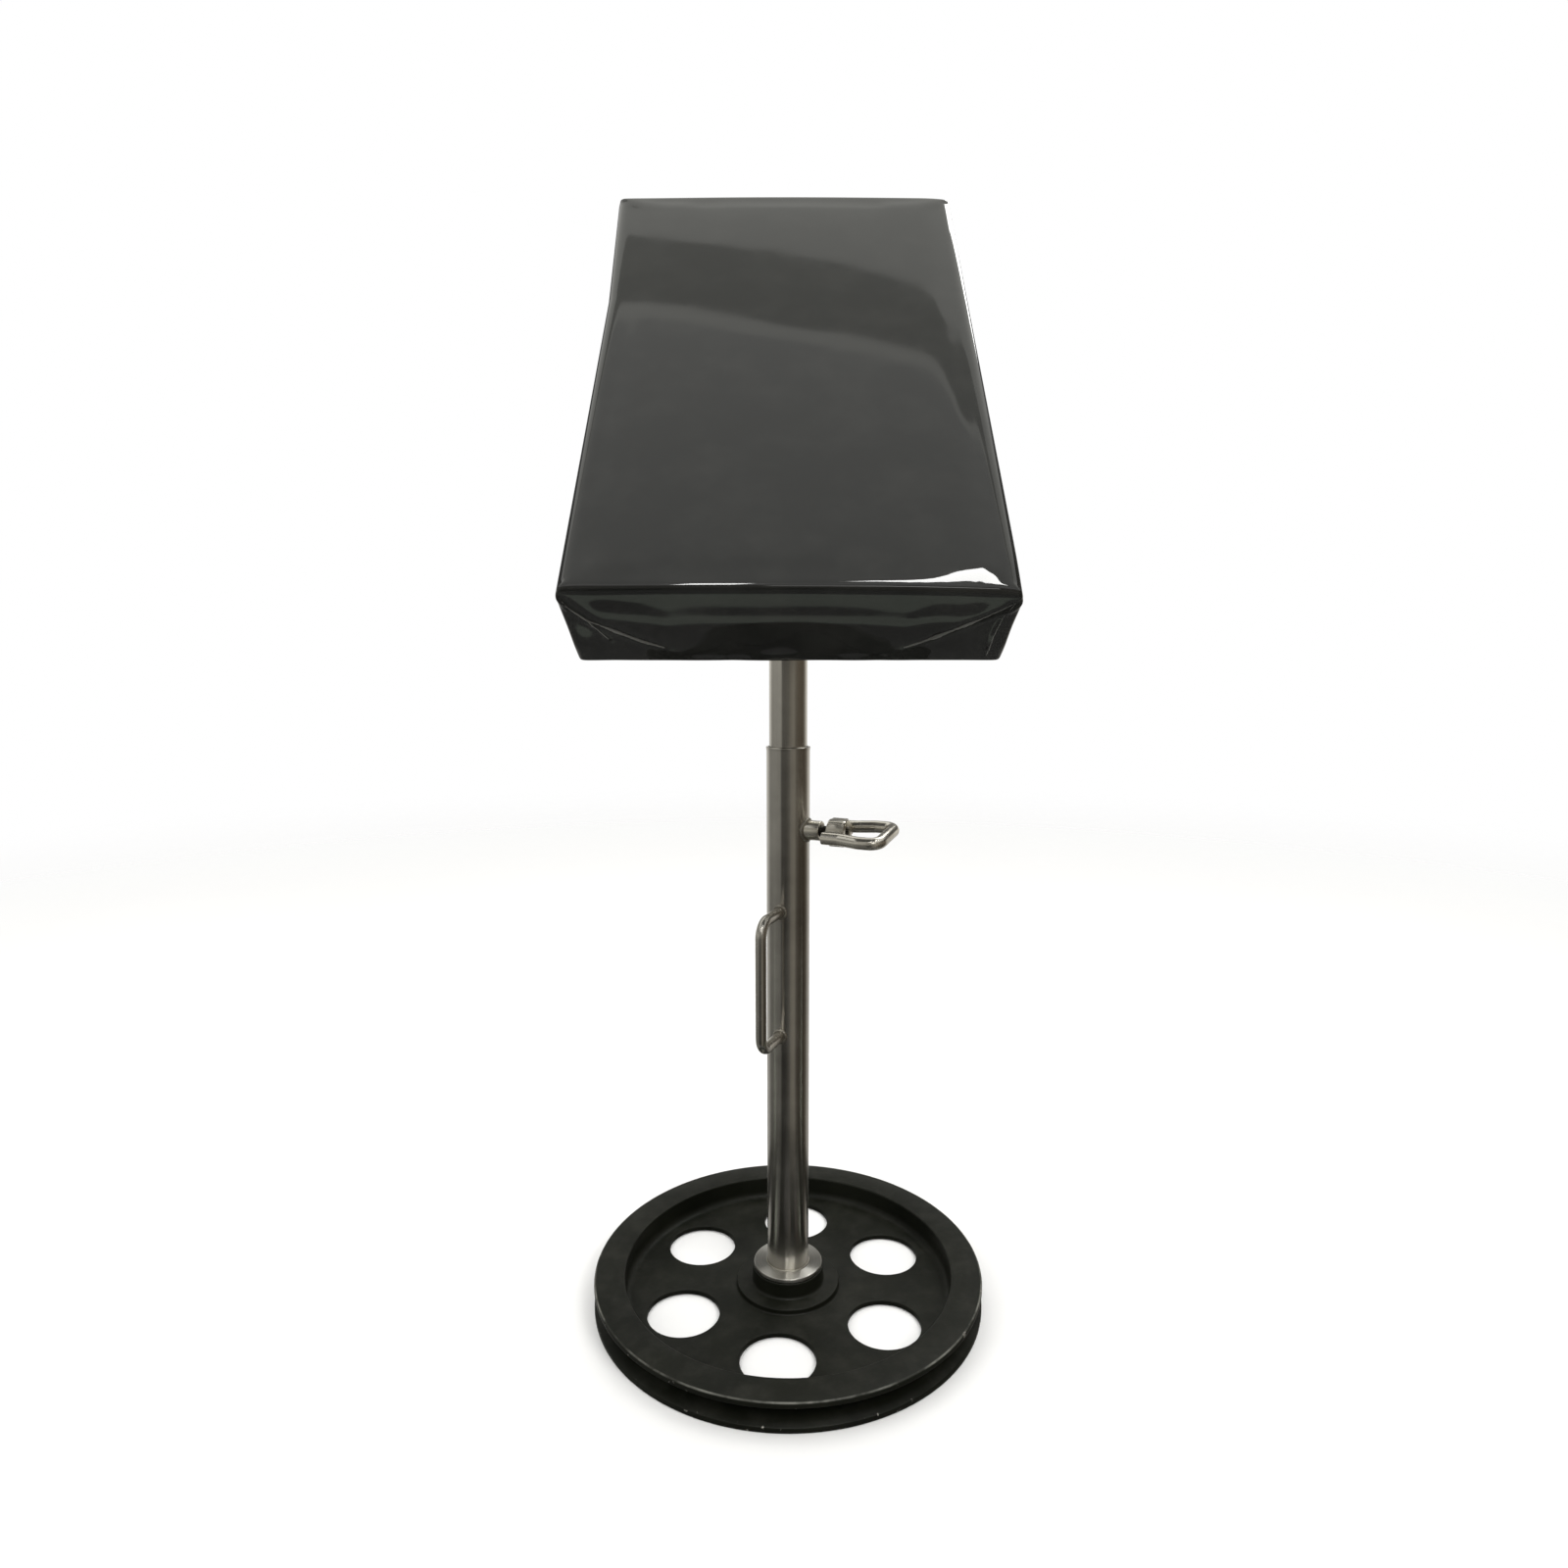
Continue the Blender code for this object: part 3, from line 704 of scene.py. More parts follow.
def tube(name, node, radius, lip):
    """A drawn tube with deburred ends; lip is how far the sawn top edge is turned out."""
    low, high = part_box(node)
    inner = radius - TUBE_WALL
    outline = [
        (inner, low.z, 0.3),
        (radius, low.z, 0.4),
        (radius, high.z - 3.0 * MM, 0),
        (radius + lip, high.z - 0.9 * MM, 0.5 if lip else 0),
        (radius + lip, high.z, 0.35),
        (inner, high.z, 0.3),
    ]
    return mesh_object(name, turned(eased(outline, 3), 128, loop=True), TUBE_STEEL, 50)


def post():
    """Both tubes, the carrying handle and its welds."""
    outer = tube("post_tube", "outer_tube", OUTER_R, 0.35 * MM)
    hole = [(M8_CLEAR_R, INNER_R * 0.6), (M8_CLEAR_R, OUTER_R + 4 * MM)]
    cut(outer, turned(hole, 40, matrix=LOCK), 50)
    stands_for(outer, "stand", "stainless", "outer_tube")
    inner = tube("sliding_tube", "inner_tube", INNER_R, 0.0)
    stands_for(inner, "inner_post", "stainless", "inner_tube")

    low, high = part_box("carry_handle")
    reach = Vector((low.x + ROD_R, low.y + ROD_R, 0))
    start = reach.normalized() * (OUTER_R - 0.3 * MM)
    top, bottom = UP * (high.z - ROD_R), UP * (low.z + ROD_R)
    path = rounded([start + top, reach + top, reach + bottom, start + bottom], 11 * MM, 14)
    handle = tube_curve("grab_bar", path, ROD_R, STEEL, smooth=8)
    stands_for(handle, "stand", "stainless", "carry_handle")
    for number, end in enumerate((top, bottom), 1):
        path = saddle_path(ROD_R + 0.5 * MM, outward_frame(end, reach))
        bead(f"grab_bar_weld_{number}", path, 1.15 * MM, "stand", 10 + number)


# ---- clamp

PITCH = 1.25 * MM
M8_R = 3.95 * MM
NUT_FLATS = 19 * MM
CLAMP_TWIST = radians(8)
BOW_R = 4.5 * MM
BOW_NECK, BOW_WIDE = 15.8 * MM, 19.5 * MM  # half widths of the bow at the nut and at its end
BOW_FLARE, BOW_END = 62 * MM, 77.1 * MM  # where the bow reaches its width, and its far bar
BOW_BEND = 9 * MM


def hex_ring(across_flats, z, limit=None):
    """A ring on a hexagon with slightly soft corners; limit is a largest radius."""
    sides = 96
    flat_r = across_flats / 2
    ring = []
    for i in range(sides):
        angle = 2 * pi * i / sides
        r = flat_r / cos((angle + pi / 6) % (pi / 3) - pi / 6)
        r = min(r, flat_r * 1.125)
        if limit:
            r = min(r, limit)
        ring.append(polar(r, angle, z))
    return ring


def threaded(name, radius, pitch, start, end, mat, matrix, sides=40):
    """A round bar with a helical V thread that fades out at both ends."""
    per_turn = 8
    depth = 0.58 * pitch
    fade_length = 0.7 * pitch
    rings = []
    steps = int((end - start) / pitch * per_turn)
    for k in range(steps + 1):
        z = start + (end - start) * k / steps
        fade = max(0.0, min(1.0, (z - start) / fade_length, (end - z) / fade_length))
        ring = []
        for i in range(sides):
            turn = (z / pitch - i / sides) % 1.0
            tooth = min(1.0, 1.25 * (1 - abs(2 * turn - 1)))
            ring.append(polar(radius - depth * (1 - tooth * fade), 2 * pi * i / sides, z))
        rings.append(ring)
    return mesh_object(name, skin(rings, matrix=matrix), mat, 60)


def saddle_ring(radius, sides):
    """A ring bent to lie on the outer tube, in the clamp's frame."""
    ring = circle(radius, 0, sides)
    for p in ring:
        p.z = sqrt((OUTER_R + 0.1 * MM) ** 2 - p.y**2)
    return ring


def clamp_boss():
    """The threaded boss, shaped to the tube at its foot."""
    high = extent("lock_boss", LOCK)[1]
    boss_r, end = high.y, high.z
    sides = 72
    inside, chamfer = 4.35 * MM, 1.1 * MM
    wall = eased(
        [(boss_r, 20 * MM, 0), (boss_r, end, 0.9), (inside + chamfer, end, 0.3), (inside, end - chamfer, 0)],
        4,
        closed=False,
    )
    rings = [saddle_ring(inside, sides), saddle_ring(boss_r, sides)]
    rings += [circle(r, z, sides) for r, z in wall]
    boss = mesh_object("clamp_boss", skin(rings, loop=True, matrix=LOCK), STEEL_CLAMP)
    stands_for(boss, "stand", "stainless", "lock_boss")
    path = saddle_path(boss_r + 0.5 * MM, LOCK, 96)
    bead("clamp_boss_weld", path, 1.3 * MM, "stand", 21)


def clamp_nut(start, end, matrix):
    """The long hex nut, chamfered at both faces."""
    bore, chamfer = M8_CLEAR_R, NUT_FLATS / 2 * 0.965
    rings = [
        circle(bore, start + 0.8 * MM, 96),
        circle(bore + 0.8 * MM, start, 96),
        circle(chamfer - 0.4 * MM, start, 96),
        hex_ring(NUT_FLATS, start + 0.35 * MM, limit=chamfer + 0.25 * MM),
        hex_ring(NUT_FLATS, start + 1.5 * MM),
        hex_ring(NUT_FLATS, end - 1.5 * MM),
        hex_ring(NUT_FLATS, end - 0.35 * MM, limit=chamfer + 0.25 * MM),
        circle(chamfer - 0.4 * MM, end, 96),
        circle(bore + 1.0 * MM, end, 96),
        circle(bore, end - 1.0 * MM, 96),
    ]
    nut = mesh_object("clamp_nut", skin(rings, loop=True, matrix=matrix), STEEL_CLAMP, 28)
    stands_for(nut, "clamp_screw", "stainless", "lock_nut")


def clamp():
    """Boss, threaded screw, welded nut and bent loop, all round the clamp screw's axis."""
    clamp_boss()
    low, high = extent("lock_screw", LOCK)
    screw = threaded("clamp_thread", M8_R, PITCH, low.z, high.z, OXIDE, LOCK)
    stands_for(screw, "clamp_screw", "black_screw", "lock_screw")

    nut_low, nut_high = extent("lock_nut", LOCK)
    start, end = nut_low.z, nut_high.z
    twist = LOCK @ Matrix.Rotation(CLAMP_TWIST, 4, "Z")
    clamp_nut(start, end, twist)

    half = [(BOW_NECK, start + 0.6 * MM), (BOW_NECK, end), (BOW_WIDE, BOW_FLARE), (BOW_WIDE, BOW_END)]
    corners = [Vector((0, y, z)) for y, z in half] + [Vector((0, -y, z)) for y, z in reversed(half)]
    path = [twist @ p for p in rounded(corners, BOW_BEND, 12)]
    loop = tube_curve("clamp_bow", path, BOW_R, STEEL_CLAMP, smooth=8)
    stands_for(loop, "clamp_screw", "stainless", "lock_loop")
    for side, label in ((-1, "near"), (1, "far")):
        for lift, face in ((-1, "upper"), (1, "lower")):
            x, y = lift * 3.1 * MM, side * (BOW_NECK - 3.8 * MM)
            ends = (Vector((x, y, start + 1.2 * MM)), Vector((x, y, end - 1.2 * MM)))
            line = [twist @ p for p in evenly(*ends, 40)]
            seed = 30 + side + 3 * lift
            bead(f"bow_weld_{label}_{face}", line, 1.25 * MM, "clamp_screw", seed, closed=False)


# ---- tilt joint


SIDES = ((-1, "left"), (1, "right"))
BOLT_FLATS = 16 * MM
BOLT_R = 4.95 * MM


def tilt_joint():
    """Cap, lug, bracket and their fasteners, with rounded edges and welds."""
    cap_low, cap_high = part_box("inner_tube_cap")
    softened("inner_tube_cap", "inner_post", STEEL, "stainless", 0.5 * MM)
    ring = circle(INNER_R + 0.1 * MM, cap_low.z - 0.2 * MM, 150)
    bead("cap_weld", ring, 0.9 * MM, "inner_post", 41)
    softened("tilt_lug", "inner_post", STEEL, "stainless", 0.5 * MM)
    low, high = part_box("tilt_lug")
    foot = cap_high.z + 0.2 * MM
    for side, label in SIDES:
        x = side * (high.x + 0.5 * MM)
        line = evenly(Vector((x, low.y, foot)), Vector((x, high.y, foot)), 51)
        bead(f"lug_weld_{label}", line, 1.2 * MM, "inner_post", 43 + side, closed=False)

    for node in ("bracket_plate", "bracket_ear_left", "bracket_ear_right"):
        softened(node, "pad", STEEL, "stainless", 0.6 * MM)
    for side, label in SIDES:
        low, high = extent(f"bracket_ear_{label}", PAD)
        x = (high.x if side > 0 else low.x) + side * 0.4 * MM
        z = high.z - 0.2 * MM
        line = [PAD @ p for p in evenly(Vector((x, low.y, z)), Vector((x, high.y, z)), 51)]
        bead(f"ear_weld_{label}", line, 1.3 * MM, "pad", 47 + side, closed=False)
    for _, label in SIDES:
        softened(f"pivot_washer_{label}", "pad", ZINC, "zinc", 0.25 * MM)
    pivot()
    for number in range(1, 5):
        pad_screw(number)


def pivot():
    """The cross bolt, head and thread, and its locking nut; Z runs along the bolt."""
    sideways = PAD @ Matrix.Rotation(pi / 2, 4, "Y")
    flats, corner_r = BOLT_FLATS, BOLT_FLATS / 2 * 1.06
    low, high = extent("pivot_bolt", sideways)
    seat = -extent("pivot_washer_left", sideways)[0].z + 0.15 * MM
    shank_r = BOLT_R - 0.05 * MM
    rings = [
        circle(corner_r * 0.62, low.z + 0.15 * MM, 96),
        circle(corner_r * 0.90, low.z, 96),
        hex_ring(flats, low.z + 0.7 * MM, limit=corner_r * 1.02),
        hex_ring(flats, low.z + 1.4 * MM),
        hex_ring(flats, -seat - 0.5 * MM),
        hex_ring(flats, -seat - 0.1 * MM, limit=corner_r * 1.03),
        circle(corner_r * 0.93, -seat, 96),
        circle(shank_r, -seat, 96),
        circle(shank_r, seat, 96),
    ]
    bolt = mesh_object("pivot_bolt_head", skin(rings, matrix=sideways), ZINC, 28)
    stands_for(bolt, "pad", "zinc", "pivot_bolt")
    thread = threaded("pivot_bolt_thread", BOLT_R, 1.5 * MM, seat - 1 * MM, high.z, ZINC, sideways, 48)
    stands_for(thread, "pad", "zinc")

    low, high = extent("pivot_nut", sideways)
    bore = 5.2 * MM
    rings = [
        circle(bore, low.z, 96),
        circle(corner_r * 0.93, low.z, 96),
        hex_ring(flats, low.z + 0.5 * MM, limit=corner_r * 1.03),
        hex_ring(flats, low.z + 1.1 * MM),
        hex_ring(flats, high.z - 2.4 * MM),
        hex_ring(flats, high.z - 1.7 * MM, limit=corner_r * 1.01),
        circle(corner_r * 0.86, high.z - 1.4 * MM, 96),
        circle(corner_r * 0.84, high.z - 0.3 * MM, 96),
        circle(corner_r * 0.80, high.z, 96),
        circle(bore + 0.5 * MM, high.z, 96),
        circle(bore, high.z - 0.5 * MM, 96),
    ]
    nut = mesh_object("pivot_lock_nut", skin(rings, loop=True, matrix=sideways), ZINC, 28)
    stands_for(nut, "pad", "zinc", "pivot_nut")


def pad_screw(number):
    """A dome-headed screw with a cross recess."""
    low, high = extent(f"pad_screw_{number}", PAD)
    centre = (low + high) / 2
    axes = PAD @ Matrix.Translation((centre.x, centre.y, 0))
    head_r, shank_r = (high.x - low.x) / 2, 2.95 * MM
    top, seat = low.z, low.z + 3.4 * MM
    dome_foot = seat - 0.5 * MM
    outline = []
    for i in range(9):
        angle = pi / 2 * i / 8
        outline.append((max(head_r * sin(angle), 0.2 * MM), dome_foot - (dome_foot - top) * cos(angle)))
    outline += [(head_r, seat), (shank_r, seat), (shank_r, high.z - 3 * MM), (0.4 * MM, high.z)]
    obj = mesh_object(f"pad_screw_head_{number}", turned(outline, 48, matrix=axes), ZINC)
    spin = radians(17 + 31 * number)
    for turn in (0, pi / 2):
        blade = [
            [Vector((x * s, y * s, z)) for x, y in ((3.0, 0.62), (-3.0, 0.62), (-3.0, -0.62), (3.0, -0.62))]
            for s, z in ((1.0 * MM, top - 1 * MM), (0.55 * MM, top + 1.9 * MM))
        ]
        cut(obj, skin(blade, matrix=axes @ Matrix.Rotation(spin + turn, 4, "Z")))
    stands_for(obj, "pad", "zinc", f"pad_screw_{number}")


# ---- pad

PAD_HALF_W = (PAD_HIGH.x - PAD_LOW.x) / 2
PAD_HALF_L = (PAD_HIGH.y - PAD_LOW.y) / 2
PAD_MID_Y = (PAD_HIGH.y + PAD_LOW.y) / 2
PAD_FOOT, PAD_TOP = PAD_LOW.z, PAD_HIGH.z
PAD_T = PAD_TOP - PAD_FOOT
LEAN = 3.5 * MM  # how far each side leans in from top to foot
FOOT_HALF_W, FOOT_HALF_L = PAD_HALF_W - LEAN, PAD_HALF_L - LEAN
FLARE_W, FLARE_L = 1.0 * MM, 1.6 * MM  # how far the top stands past the CAD's side, and past the foot's end
HEM = 26 * MM
CORNER_R = 3 * MM
ROLL_END, ROLL_SIDE = 3.5 * MM, 9 * MM
CROWN = 1.7 * MM
GATHER = 5.5 * MM  # how far the far left corner is pushed out
BLOWN_VINYL = {
    "quality": 6,
    "mass": 0.4,
    "tension_stiffness": 60,
    "compression_stiffness": 60,
    "shear_stiffness": 30,
    "bending_stiffness": 6,
    "use_pressure": True,
    "uniform_pressure_force": 4.0,
}


def spaced(low, high, coarse, fine, edge):
    """Grid lines from low to high: fine near both ends, coarse between."""
    count = max(1, round(edge / fine))
    ends = [low + edge * i / count for i in range(count)]
    middle_low, middle_high = low + edge, high - edge
    count = max(1, round((middle_high - middle_low) / coarse))
    middle = [middle_low + (middle_high - middle_low) * i / count for i in range(count + 1)]
    return ends + middle + [low + high - x for x in reversed(ends)]


def box_grid(xs, ys, zs):
    """The surface of a box as one closed mesh of quads on these grid lines."""
    bm = bmesh.new()
    known = {}
    sizes = (len(xs), len(ys), len(zs))

    def vert(i, j, k):
        if (i, j, k) not in known:
            known[i, j, k] = bm.verts.new((xs[i], ys[j], zs[k]))
        return known[i, j, k]

    for axis in range(3):
        a, b = [n for n in range(3) if n != axis]
        for side in (0, sizes[axis] - 1):
            for p in range(sizes[a] - 1):
                for q in range(sizes[b] - 1):
                    face = []
                    for dp, dq in ((0, 0), (1, 0), (1, 1), (0, 1)):
                        index = [0, 0, 0]
                        index[axis], index[a], index[b] = side, p + dp, q + dq
                        face.append(vert(*index))
                    bm.faces.new(face)
    bmesh.ops.recalc_face_normals(bm, faces=bm.faces)
    return bm


def squircle(x, y, half_x, half_y, radius):
    """Move a point of a square-cornered plan into one with round corners."""
    core_x = max(-half_x + radius, min(half_x - radius, x))
    core_y = max(-half_y + radius, min(half_y - radius, y))
    ex, ey = (x - core_x) / radius, (y - core_y) / radius
    length = hypot(ex, ey)
    if length < 1e-9:
        return x, y
    share = max(abs(ex), abs(ey)) / length
    return core_x + ex * share * radius, core_y + ey * share * radius


def inward(x, y, half_x, half_y, radius):
    """Distance in from the plan's outline, and the outward direction there."""
    qx, qy = abs(x) - half_x + radius, abs(y) - half_y + radius
    if qx > 0 and qy > 0:
        length = hypot(qx, qy)
        nx, ny = qx / length, qy / length
        depth = radius - length
    elif qx > qy:
        nx, ny, depth = 1.0, 0.0, radius - qx
    else:
        nx, ny, depth = 0.0, 1.0, radius - qy
    return max(depth, 0.0), nx * sign(x), ny * sign(y)


def pad_block():
    """The pad before it is blown up: rolled upper edges, tight corners, a flat and narrower foot."""
    half_x, half_y = FOOT_HALF_W - 0.8 * MM, PAD_HALF_L - 0.4 * MM
    foot, top = PAD_FOOT, PAD_TOP - 0.2 * MM
    xs = spaced(-half_x, half_x, 5.5 * MM, 2.4 * MM, 60 * MM)
    ys = spaced(-half_y, half_y, 6 * MM, 2.2 * MM, 22 * MM)
    zs = spaced(foot, top, 2.6 * MM, 2.0 * MM, 12 * MM)
    bm = box_grid(xs, ys, zs)
    for v in bm.verts:
        x, y = squircle(v.co.x, v.co.y, half_x, half_y, CORNER_R)
        depth, nx, ny = inward(x, y, half_x, half_y, CORNER_R)
        roll = ROLL_END + (ROLL_SIDE - ROLL_END) * abs(nx)
        below = top - v.co.z
        if depth < roll and below < roll:
            ex, ez = 1 - depth / roll, 1 - below / roll
            share = max(ex, ez) / hypot(ex, ez)
            new_depth = roll * (1 - ex * share)
            x -= nx * (new_depth - depth)
            y -= ny * (new_depth - depth)
            v.co.z = top - roll * (1 - ez * share)
        rise = (v.co.z - foot) / PAD_T
        v.co.x = x * (1 + rise * (PAD_HALF_W + FLARE_W - half_x) / half_x)
        v.co.y = y * (1 + rise * FLARE_L / half_y) + PAD_MID_Y
    bm.transform(PAD)
    return bm


def inflate(obj, top_cap, wall_cap, in_cap):
    """Blow the cover up with the cloth solver; the foot stays stapled to the board.

    The caps are how far the upper face and the walls may move out, and anything may move in.
    """
    mesh = obj.data
    start = np.array([v.co for v in mesh.vertices])
    outward = np.array([v.normal for v in mesh.vertices])
    step = blown(obj, 20) - start
    rise = (step * outward).sum(axis=1)
    upward = np.clip(outward @ np.array(PAD.to_3x3().col[2]), 0, 1)
    cap = np.where(rise > 0, wall_cap + (top_cap - wall_cap) * upward, in_cap)
    length = np.linalg.norm(step, axis=1)
    step *= np.minimum(1.0, cap / np.maximum(length, 1e-9))[:, None]
    step = smoothed(mesh, step, 10)
    mesh.vertices.foreach_set("co", (start + step).ravel())
    mesh.update()


def blown(obj, frames):
    """Where the vertices are after so many frames of cloth under pressure."""
    group = obj.vertex_groups.new(name="stapled")
    back = PAD.inverted()
    held = [v.index for v in obj.data.vertices if (back @ v.co).z < PAD_FOOT + 3 * MM]
    group.add(held, 1.0, "REPLACE")
    cloth = obj.modifiers.new("cloth", "CLOTH")
    for key, value in BLOWN_VINYL.items():
        setattr(cloth.settings, key, value)
    cloth.settings.vertex_group_mass = "stapled"
    cloth.settings.effector_weights.gravity = 0
    cloth.collision_settings.use_collision = False
    cloth.point_cache.frame_start, cloth.point_cache.frame_end = 1, frames
    scene = bpy.context.scene
    for number in range(1, frames + 1):
        scene.frame_set(number)
    graph = bpy.context.evaluated_depsgraph_get()
    places = np.array([v.co for v in obj.evaluated_get(graph).to_mesh().vertices])
    obj.modifiers.clear()
    obj.vertex_groups.clear()
    scene.frame_set(1)
    return places


def smoothed(mesh, field, rounds):
    """Even out a value held at each vertex, with its neighbours."""
    edges = np.array([e.vertices[:] for e in mesh.edges])
    count = np.bincount(edges.ravel(), minlength=len(field))[:, None]
    for _ in range(rounds):
        total = np.zeros_like(field)
        np.add.at(total, edges[:, 0], field[edges[:, 1]])
        np.add.at(total, edges[:, 1], field[edges[:, 0]])
        field = 0.5 * field + 0.5 * total / count
    return field


def beside(x, h, line):
    """Signed distance from a polyline that runs away from a corner: positive below it."""
    nearest = None
    for (ax, ah), (bx, bh) in zip(line, line[1:]):
        dx, dh = bx - ax, bh - ah
        t = max(0.0, min(1.0, ((x - ax) * dx + (h - ah) * dh) / (dx * dx + dh * dh)))
        gap = hypot(x - ax - dx * t, h - ah - dh * t)
        if nearest is None or gap < abs(nearest):
            nearest = gap * sign((x - ax) * dh - (h - ah) * dx)
    return nearest


# Fold lines of the wrapped corners: distance in from the side and height over the foot, in mm,
# and the distance past which an end face has no fold.
FOLD_LEFT = [(-1, 56), (6, 43), (14, 34), (26, 27), (41, 18), (54, 12)]
CREASE_LEFT = [(0, 50), (9, 40), (17, 31), (24, 20)]
FOLD_RIGHT = [(-1, 51), (9, 42), (30, 29), (50, 17), (60, 12)]
CREASE_RIGHT = [(4, 46), (9, 38), (12, 22), (13, 6)]
FOLD_REACH = 80


def fold_relief(x, h, left):
    """How far the wrapped corner stands out of an end face, in metres."""
    inset = (PAD_HALF_W - abs(x)) / MM
    height = h / MM
    if inset > FOLD_REACH:
        return 0.0
    gap = beside(inset, height, FOLD_LEFT if left else FOLD_RIGHT)
    crease = beside(inset, height, CREASE_LEFT if left else CREASE_RIGHT)
    fade = ramp(height, 1, 14) * ramp(66 - inset, 0, 22)
    flap = 0.7 * ramp(gap, -0.4, 0.6)
    roll = 0.55 * bell(gap - 1.0, 1.2)
    tuck = -0.35 * bell(gap + 1.2, 1.2)
    second = 0.45 * bell(crease, 1.3) - 0.2 * bell(crease + 2.2, 1.6)
    return (fade * (flap + roll + tuck) + second * ramp(height, 4, 16)) * MM


def reshape(obj, move_at):
    """Move each vertex by what a function of its place in the pad's frame gives."""
    back, turn = PAD.inverted(), PAD.to_3x3()
    for v in obj.data.vertices:
        v.co += turn @ move_at(back @ v.co)
    obj.data.update()


def dressing(p):
    """Folds, pulls and pleats that a vinyl cover gets when it is stapled round a board."""
    y = p.y - PAD_MID_Y
    height = p.z - PAD_FOOT
    way_x, way_y = sign(p.x), sign(y)
    move = Vector((0, 0, 0))
    end = ramp(abs(y), PAD_HALF_L - 9 * MM, PAD_HALF_L - 2.5 * MM)
    side = ramp(abs(p.x), PAD_HALF_W - 8 * MM, PAD_HALF_W - 2.5 * MM)
    wall = 1 - ramp(height, PAD_T - 9 * MM, PAD_T - 2 * MM)
    near_foot = 1 - ramp(height, 4 * MM, 30 * MM)
    if end > 0 and height > 1 * MM:
        across = -way_y * p.x
        move.y += way_y * fold_relief(across, height, across < 0) * end * (0.25 + 0.75 * wall)
    pull = wave(p.x * 3, y * 34, 1.7) + 0.5 * wave(p.x * 5, y * 80, 5.1)
    move.x += way_x * side * near_foot * abs(pull) * 0.8 * MM
    pull = wave(p.x * 30, y * 3, 8.2)
    move.y += way_y * end * near_foot * abs(pull) * 0.6 * MM
    move.z += top_relief(p.x, y) * ramp(height, PAD_T - 32 * MM, PAD_T - 8 * MM)
    gathered = max(0.0, y / PAD_HALF_L - 0.35) / 0.65 * ramp(-p.x, 0.5 * PAD_HALF_W, PAD_HALF_W)
    move.x -= GATHER * gathered * ramp(height, 8 * MM, PAD_T - 10 * MM)
    return move


def top_relief(x, y):
    """Crown of the upper face, drawn down along its right side and towards the near right corner."""
    crown = CROWN * (1 - (x / PAD_HALF_W) ** 2) * (1 - 0.35 * (y / PAD_HALF_L) ** 8)
    sag = 0.25 * MM * wave(x * 9, y * 6, 6.1)
    band = 26 * MM
    side = -1.3 * MM * max(0.0, (x - PAD_HALF_W + band) / band) ** 2
    pucker = wave(x * 230, y * 10, 4.4)
    reach = (2.4 + 16 * (max(x, 0) / PAD_HALF_W) ** 5) * MM
    pulled = ramp(x, 10 * MM, 50 * MM) * bell(y + PAD_HALF_L, reach)
    droop = -(0.5 + 1.0 * ramp(x, 50 * MM, PAD_HALF_W) + 0.08 * pucker) * MM * pulled
    return crown + sag + side + droop


def fold_edges(cover):
    """The turned-over edge of the vinyl along each fold, laid on the end faces."""
    back = PAD.inverted()
    surface = BVHTree.FromPolygons(
        [back @ v.co for v in cover.data.vertices], [p.vertices[:] for p in cover.data.polygons]
    )
    kinds = (
        ("fold_left", FOLD_LEFT, True, 0.95 * MM),
        ("fold_right", FOLD_RIGHT, False, 0.95 * MM),
        ("crease_left", CREASE_LEFT, True, 0.4 * MM),
        ("crease_right", CREASE_RIGHT, False, 0.4 * MM),
    )
    for end, place in ((-1, "near"), (1, "far")):
        for label, line, left, radius in kinds:
            way = -1 if left == (end < 0) else 1
            corners = [(way * (PAD_HALF_W - x * MM), h * MM, 0) for x, h in line]
            path = laid_on(surface, resampled(rounded(corners, 9 * MM, 5), 1.5 * MM), end, 0.35 * radius)
            swell = []
            for i, point in enumerate(path):
                broken = 1 + 0.45 * noise.noise(point * 130)
                swell.append((0.3 + 0.7 * bell(i / (len(path) - 1) - 0.68, 0.32)) * broken)
            # The fold edges' lighter vinyl is a painted highlight along each fold.
            edge = tube_curve(f"pad_{label}_{place}", path, radius, VINYL_FOLD_HIGHLIGHT, swell=swell, smooth=3)
            stands_for(edge, "pad", "vinyl")


def laid_on(surface, path, end, sunk):
    """A path of (x, height) laid on an end face of the pad; points that miss the face are left out."""
    laid = []
    for x, height, _ in path:
        origin = Vector((x, PAD_MID_Y + end * (PAD_HALF_L + 20 * MM), PAD_FOOT + height))
        point = surface.ray_cast(origin, Vector((0, -end, 0)))[0]
        if point and abs(point.y - PAD_MID_Y) > PAD_HALF_L - 7 * MM:
            laid.append(PAD @ (point - Vector((0, end * sunk, 0))))
    return laid


def resampled(path, step):
    """Points a step apart along a path."""
    points = [path[0]]
    left = step
    for a, b in zip(path, path[1:]):
        length = (b - a).length
        at = left
        while at < length:
            points.append(a.lerp(b, at / length))
            at += step
        left = at - length
    points.append(path[-1])
    return points


def hem_and_foot(p):
    """The turned-under hem round the foot; within it the foot is a little higher."""
    if p.z - PAD_FOOT > 1.5 * MM:
        return Vector((0, 0, 0))
    inset = min(FOOT_HALF_W - abs(p.x), FOOT_HALF_L - abs(p.y - PAD_MID_Y))
    wobble = 1.3 * MM * wave(p.x * 26, p.y * 26, 3.3)
    step = ramp(inset, HEM - 1.5 * MM + wobble, HEM + 1.5 * MM + wobble)
    pucker = 0.35 * MM * wave(p.x * 110, p.y * 110, 9.0) * ramp(inset, 3 * MM, HEM)
    return Vector((0, 0, 1.35 * MM * step + abs(pucker) * (1 - step)))


